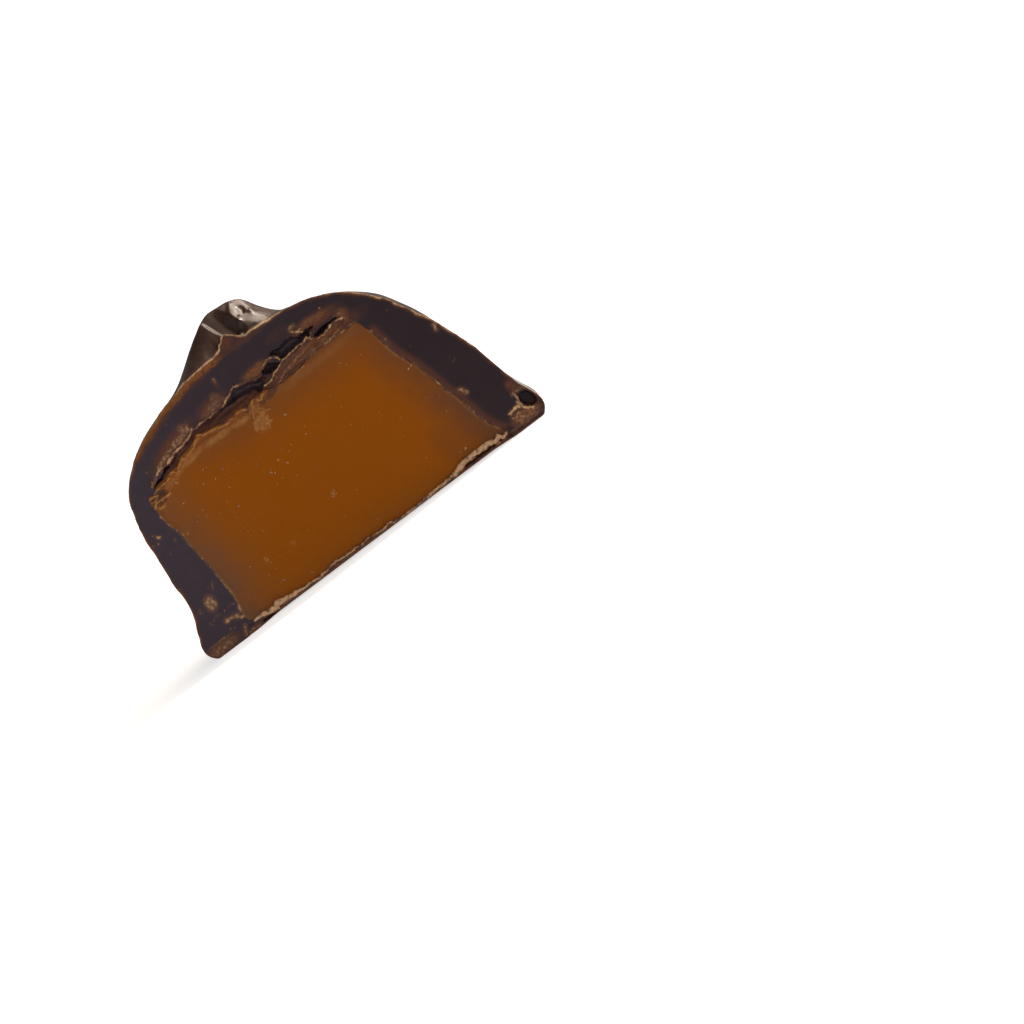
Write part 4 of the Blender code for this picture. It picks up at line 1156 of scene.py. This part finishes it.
caramelStations = (
    (0.5, 1.0, 1.0), (6.0, 0.985, 0.985), (9.0, 0.955, 0.955), (10.8, 0.9, 0.92),
    (11.64, 0.85, 0.885), (12.0, 0.8, 0.85),
)


def numbered(obj, index):  # every face of a cutter gets the slot that its faces will have on the piece
    for _ in range(index + 1):
        obj.data.materials.append(None)
    obj.data.polygons.foreach_set("material_index", [index] * len(obj.data.polygons))
    return obj


def inPlace(obj):
    places = coordinates(obj) + (cutFrame["x"], cutFrame["y"], 0)
    setCoordinates(obj, places)
    selectOnly(obj)
    bpy.ops.object.shade_smooth_by_angle(angle=math.radians(50))


report("coat")
darkCoat = coatBlank()
raisePeak(darkCoat)
dippedSkin(darkCoat)
darkCoat.data.materials.append(shellMaterial())
darkCoat.data.materials.append(cutMaterial())
report("cut through the coat")
carve(darkCoat, numbered(knife("coatKnife", coatFace, cut["before"]), 1))
cavity = plug("cavity", fineOutline(caramelEdge, *cut["wall"], 0.0), caramelStations, cut["plugFront"])
carve(darkCoat, numbered(cavity, 1))
slots = np.empty(len(darkCoat.data.polygons), np.int32)
darkCoat.data.polygons.foreach_get("material_index", slots)
darkCoat.data.polygons.foreach_set("material_index", np.minimum(slots, 1))
while len(darkCoat.data.materials) > 2:
    darkCoat.data.materials.pop()
settled(darkCoat)
markCoat(darkCoat)

report("caramel")
wall = fineOutline(caramelEdge, *cut["wall"], cut["overlap"])
caramel = plug("caramel", wall, caramelStations, cut["plugFront"])
carve(caramel, knife("caramelKnife", caramelFace, cut["before"]))
settled(caramel)
caramel.data.materials.clear()
caramel.data.materials.append(caramelMaterial())
markCaramel(caramel)

report("crumbs")
caramelCrumbs = scatterCrumbs()
caramelCrumbs.data.materials.clear()
caramelCrumbs.data.materials.append(crumbMaterial())

for piece in (darkCoat, caramel, caramelCrumbs):
    inPlace(piece)
    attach(piece, "root")
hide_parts("chocolate_coat")
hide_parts("caramel_filling")


# Studio: a pale floor, soft light and the camera at the photograph's place

studio = {
    "floorRadius": 0.17,
    "skyHeights": (0.42, 0.6),  # the room is bright up to the first height and dims towards the second
    "skyStrengths": (0.98, 0.07),
    "behind": (-0.1, 0.35, 1.0, 0.13),  # and it is dimmer behind the candy than before it
    "backdrop": 1.3,
    "aim": (9.0, -4.46),  # the photograph's middle in the cut plane's frame, mm
    "distance": 0.3235,
    "elevation": 7.0,
    "lens": 150.0,
    "imageUp": (0.598, 0.0, 0.801),
}
lights = (  # name, place, aim, size, watts, colour
    ("key", (0.19, 0.13, 0.30), (0, 0, 0.01), 0.36, 1.85, (1.0, 0.8, 0.63)),
    ("sparkle", (0.24, 0.06, 0.30), (0, 0, 0.01), 0.03, 0.75, (1.0, 0.95, 0.9)),
    ("overhead", (-0.02, 0.04, 0.38), (0, 0.03, 0.01), 0.2, 0.03, (1.0, 0.74, 0.56)),
    ("fillFront", (-0.20, -0.34, 0.20), (0, 0, 0.01), 0.25, 0.24, (1.0, 1.0, 1.0)),
)


report("studio")
bpy.ops.object.select_all(action="DESELECT")
bpy.ops.mesh.primitive_circle_add(vertices=128, radius=studio["floorRadius"], fill_type="NGON")
floor = lastMade("paleFloor")
floor.data.materials.append(floorMaterial())

world = bpy.data.worlds.new("softRoom")
bpy.context.scene.world = world
world.use_nodes = True
sky = world.node_tree.nodes["Background"]
sky.inputs["Color"].default_value = (1, 1, 1, 1)
direction = world.node_tree.nodes.new("ShaderNodeTexCoord")
split = world.node_tree.nodes.new("ShaderNodeSeparateXYZ")
world.node_tree.links.new(direction.outputs["Generated"], split.inputs[0])
upward = mapped(world.node_tree, split.outputs["Z"], *studio["skyHeights"], *studio["skyStrengths"])
behind = mapped(world.node_tree, split.outputs["Y"], *studio["behind"])
room = arithmetic(world.node_tree, "MULTIPLY", upward, behind)
rays = world.node_tree.nodes.new("ShaderNodeLightPath")
backdrop = arithmetic(world.node_tree, "MULTIPLY", rays.outputs["Is Camera Ray"], studio["backdrop"])
world.node_tree.links.new(arithmetic(world.node_tree, "MAXIMUM", room, backdrop), sky.inputs["Strength"])

for name, place, aim, size, watts, colour in lights:
    bpy.ops.object.select_all(action="DESELECT")
    bpy.ops.object.light_add(type="AREA", location=place)
    lamp = lastMade(name)
    lamp.data.shape = "DISK"
    lamp.data.size = size
    lamp.data.energy = watts
    lamp.data.color = colour
    lamp.rotation_euler = (Vector(aim) - Vector(place)).to_track_quat("-Z", "Y").to_euler()

tilt = math.radians(studio["elevation"])
aim = Vector((cutFrame["x"] + studio["aim"][0] * mm, cutFrame["y"], studio["aim"][1] * mm))
place = aim + studio["distance"] * Vector((0, -math.cos(tilt), math.sin(tilt)))
look = (aim - place).normalized()
across = look.cross(Vector(studio["imageUp"])).normalized()
above = across.cross(look)
bpy.ops.object.camera_add(location=place)
camera = bpy.context.object
camera.name = "camera"
camera.rotation_euler = Matrix((across, above, -look)).transposed().to_euler()
camera.data.lens = studio["lens"]
camera.data.sensor_width = 36
camera.data.clip_start = 0.01
camera.data.clip_end = 5
bpy.context.scene.camera = camera
bpy.context.scene.view_settings.view_transform = "Standard"

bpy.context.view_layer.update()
report("done")
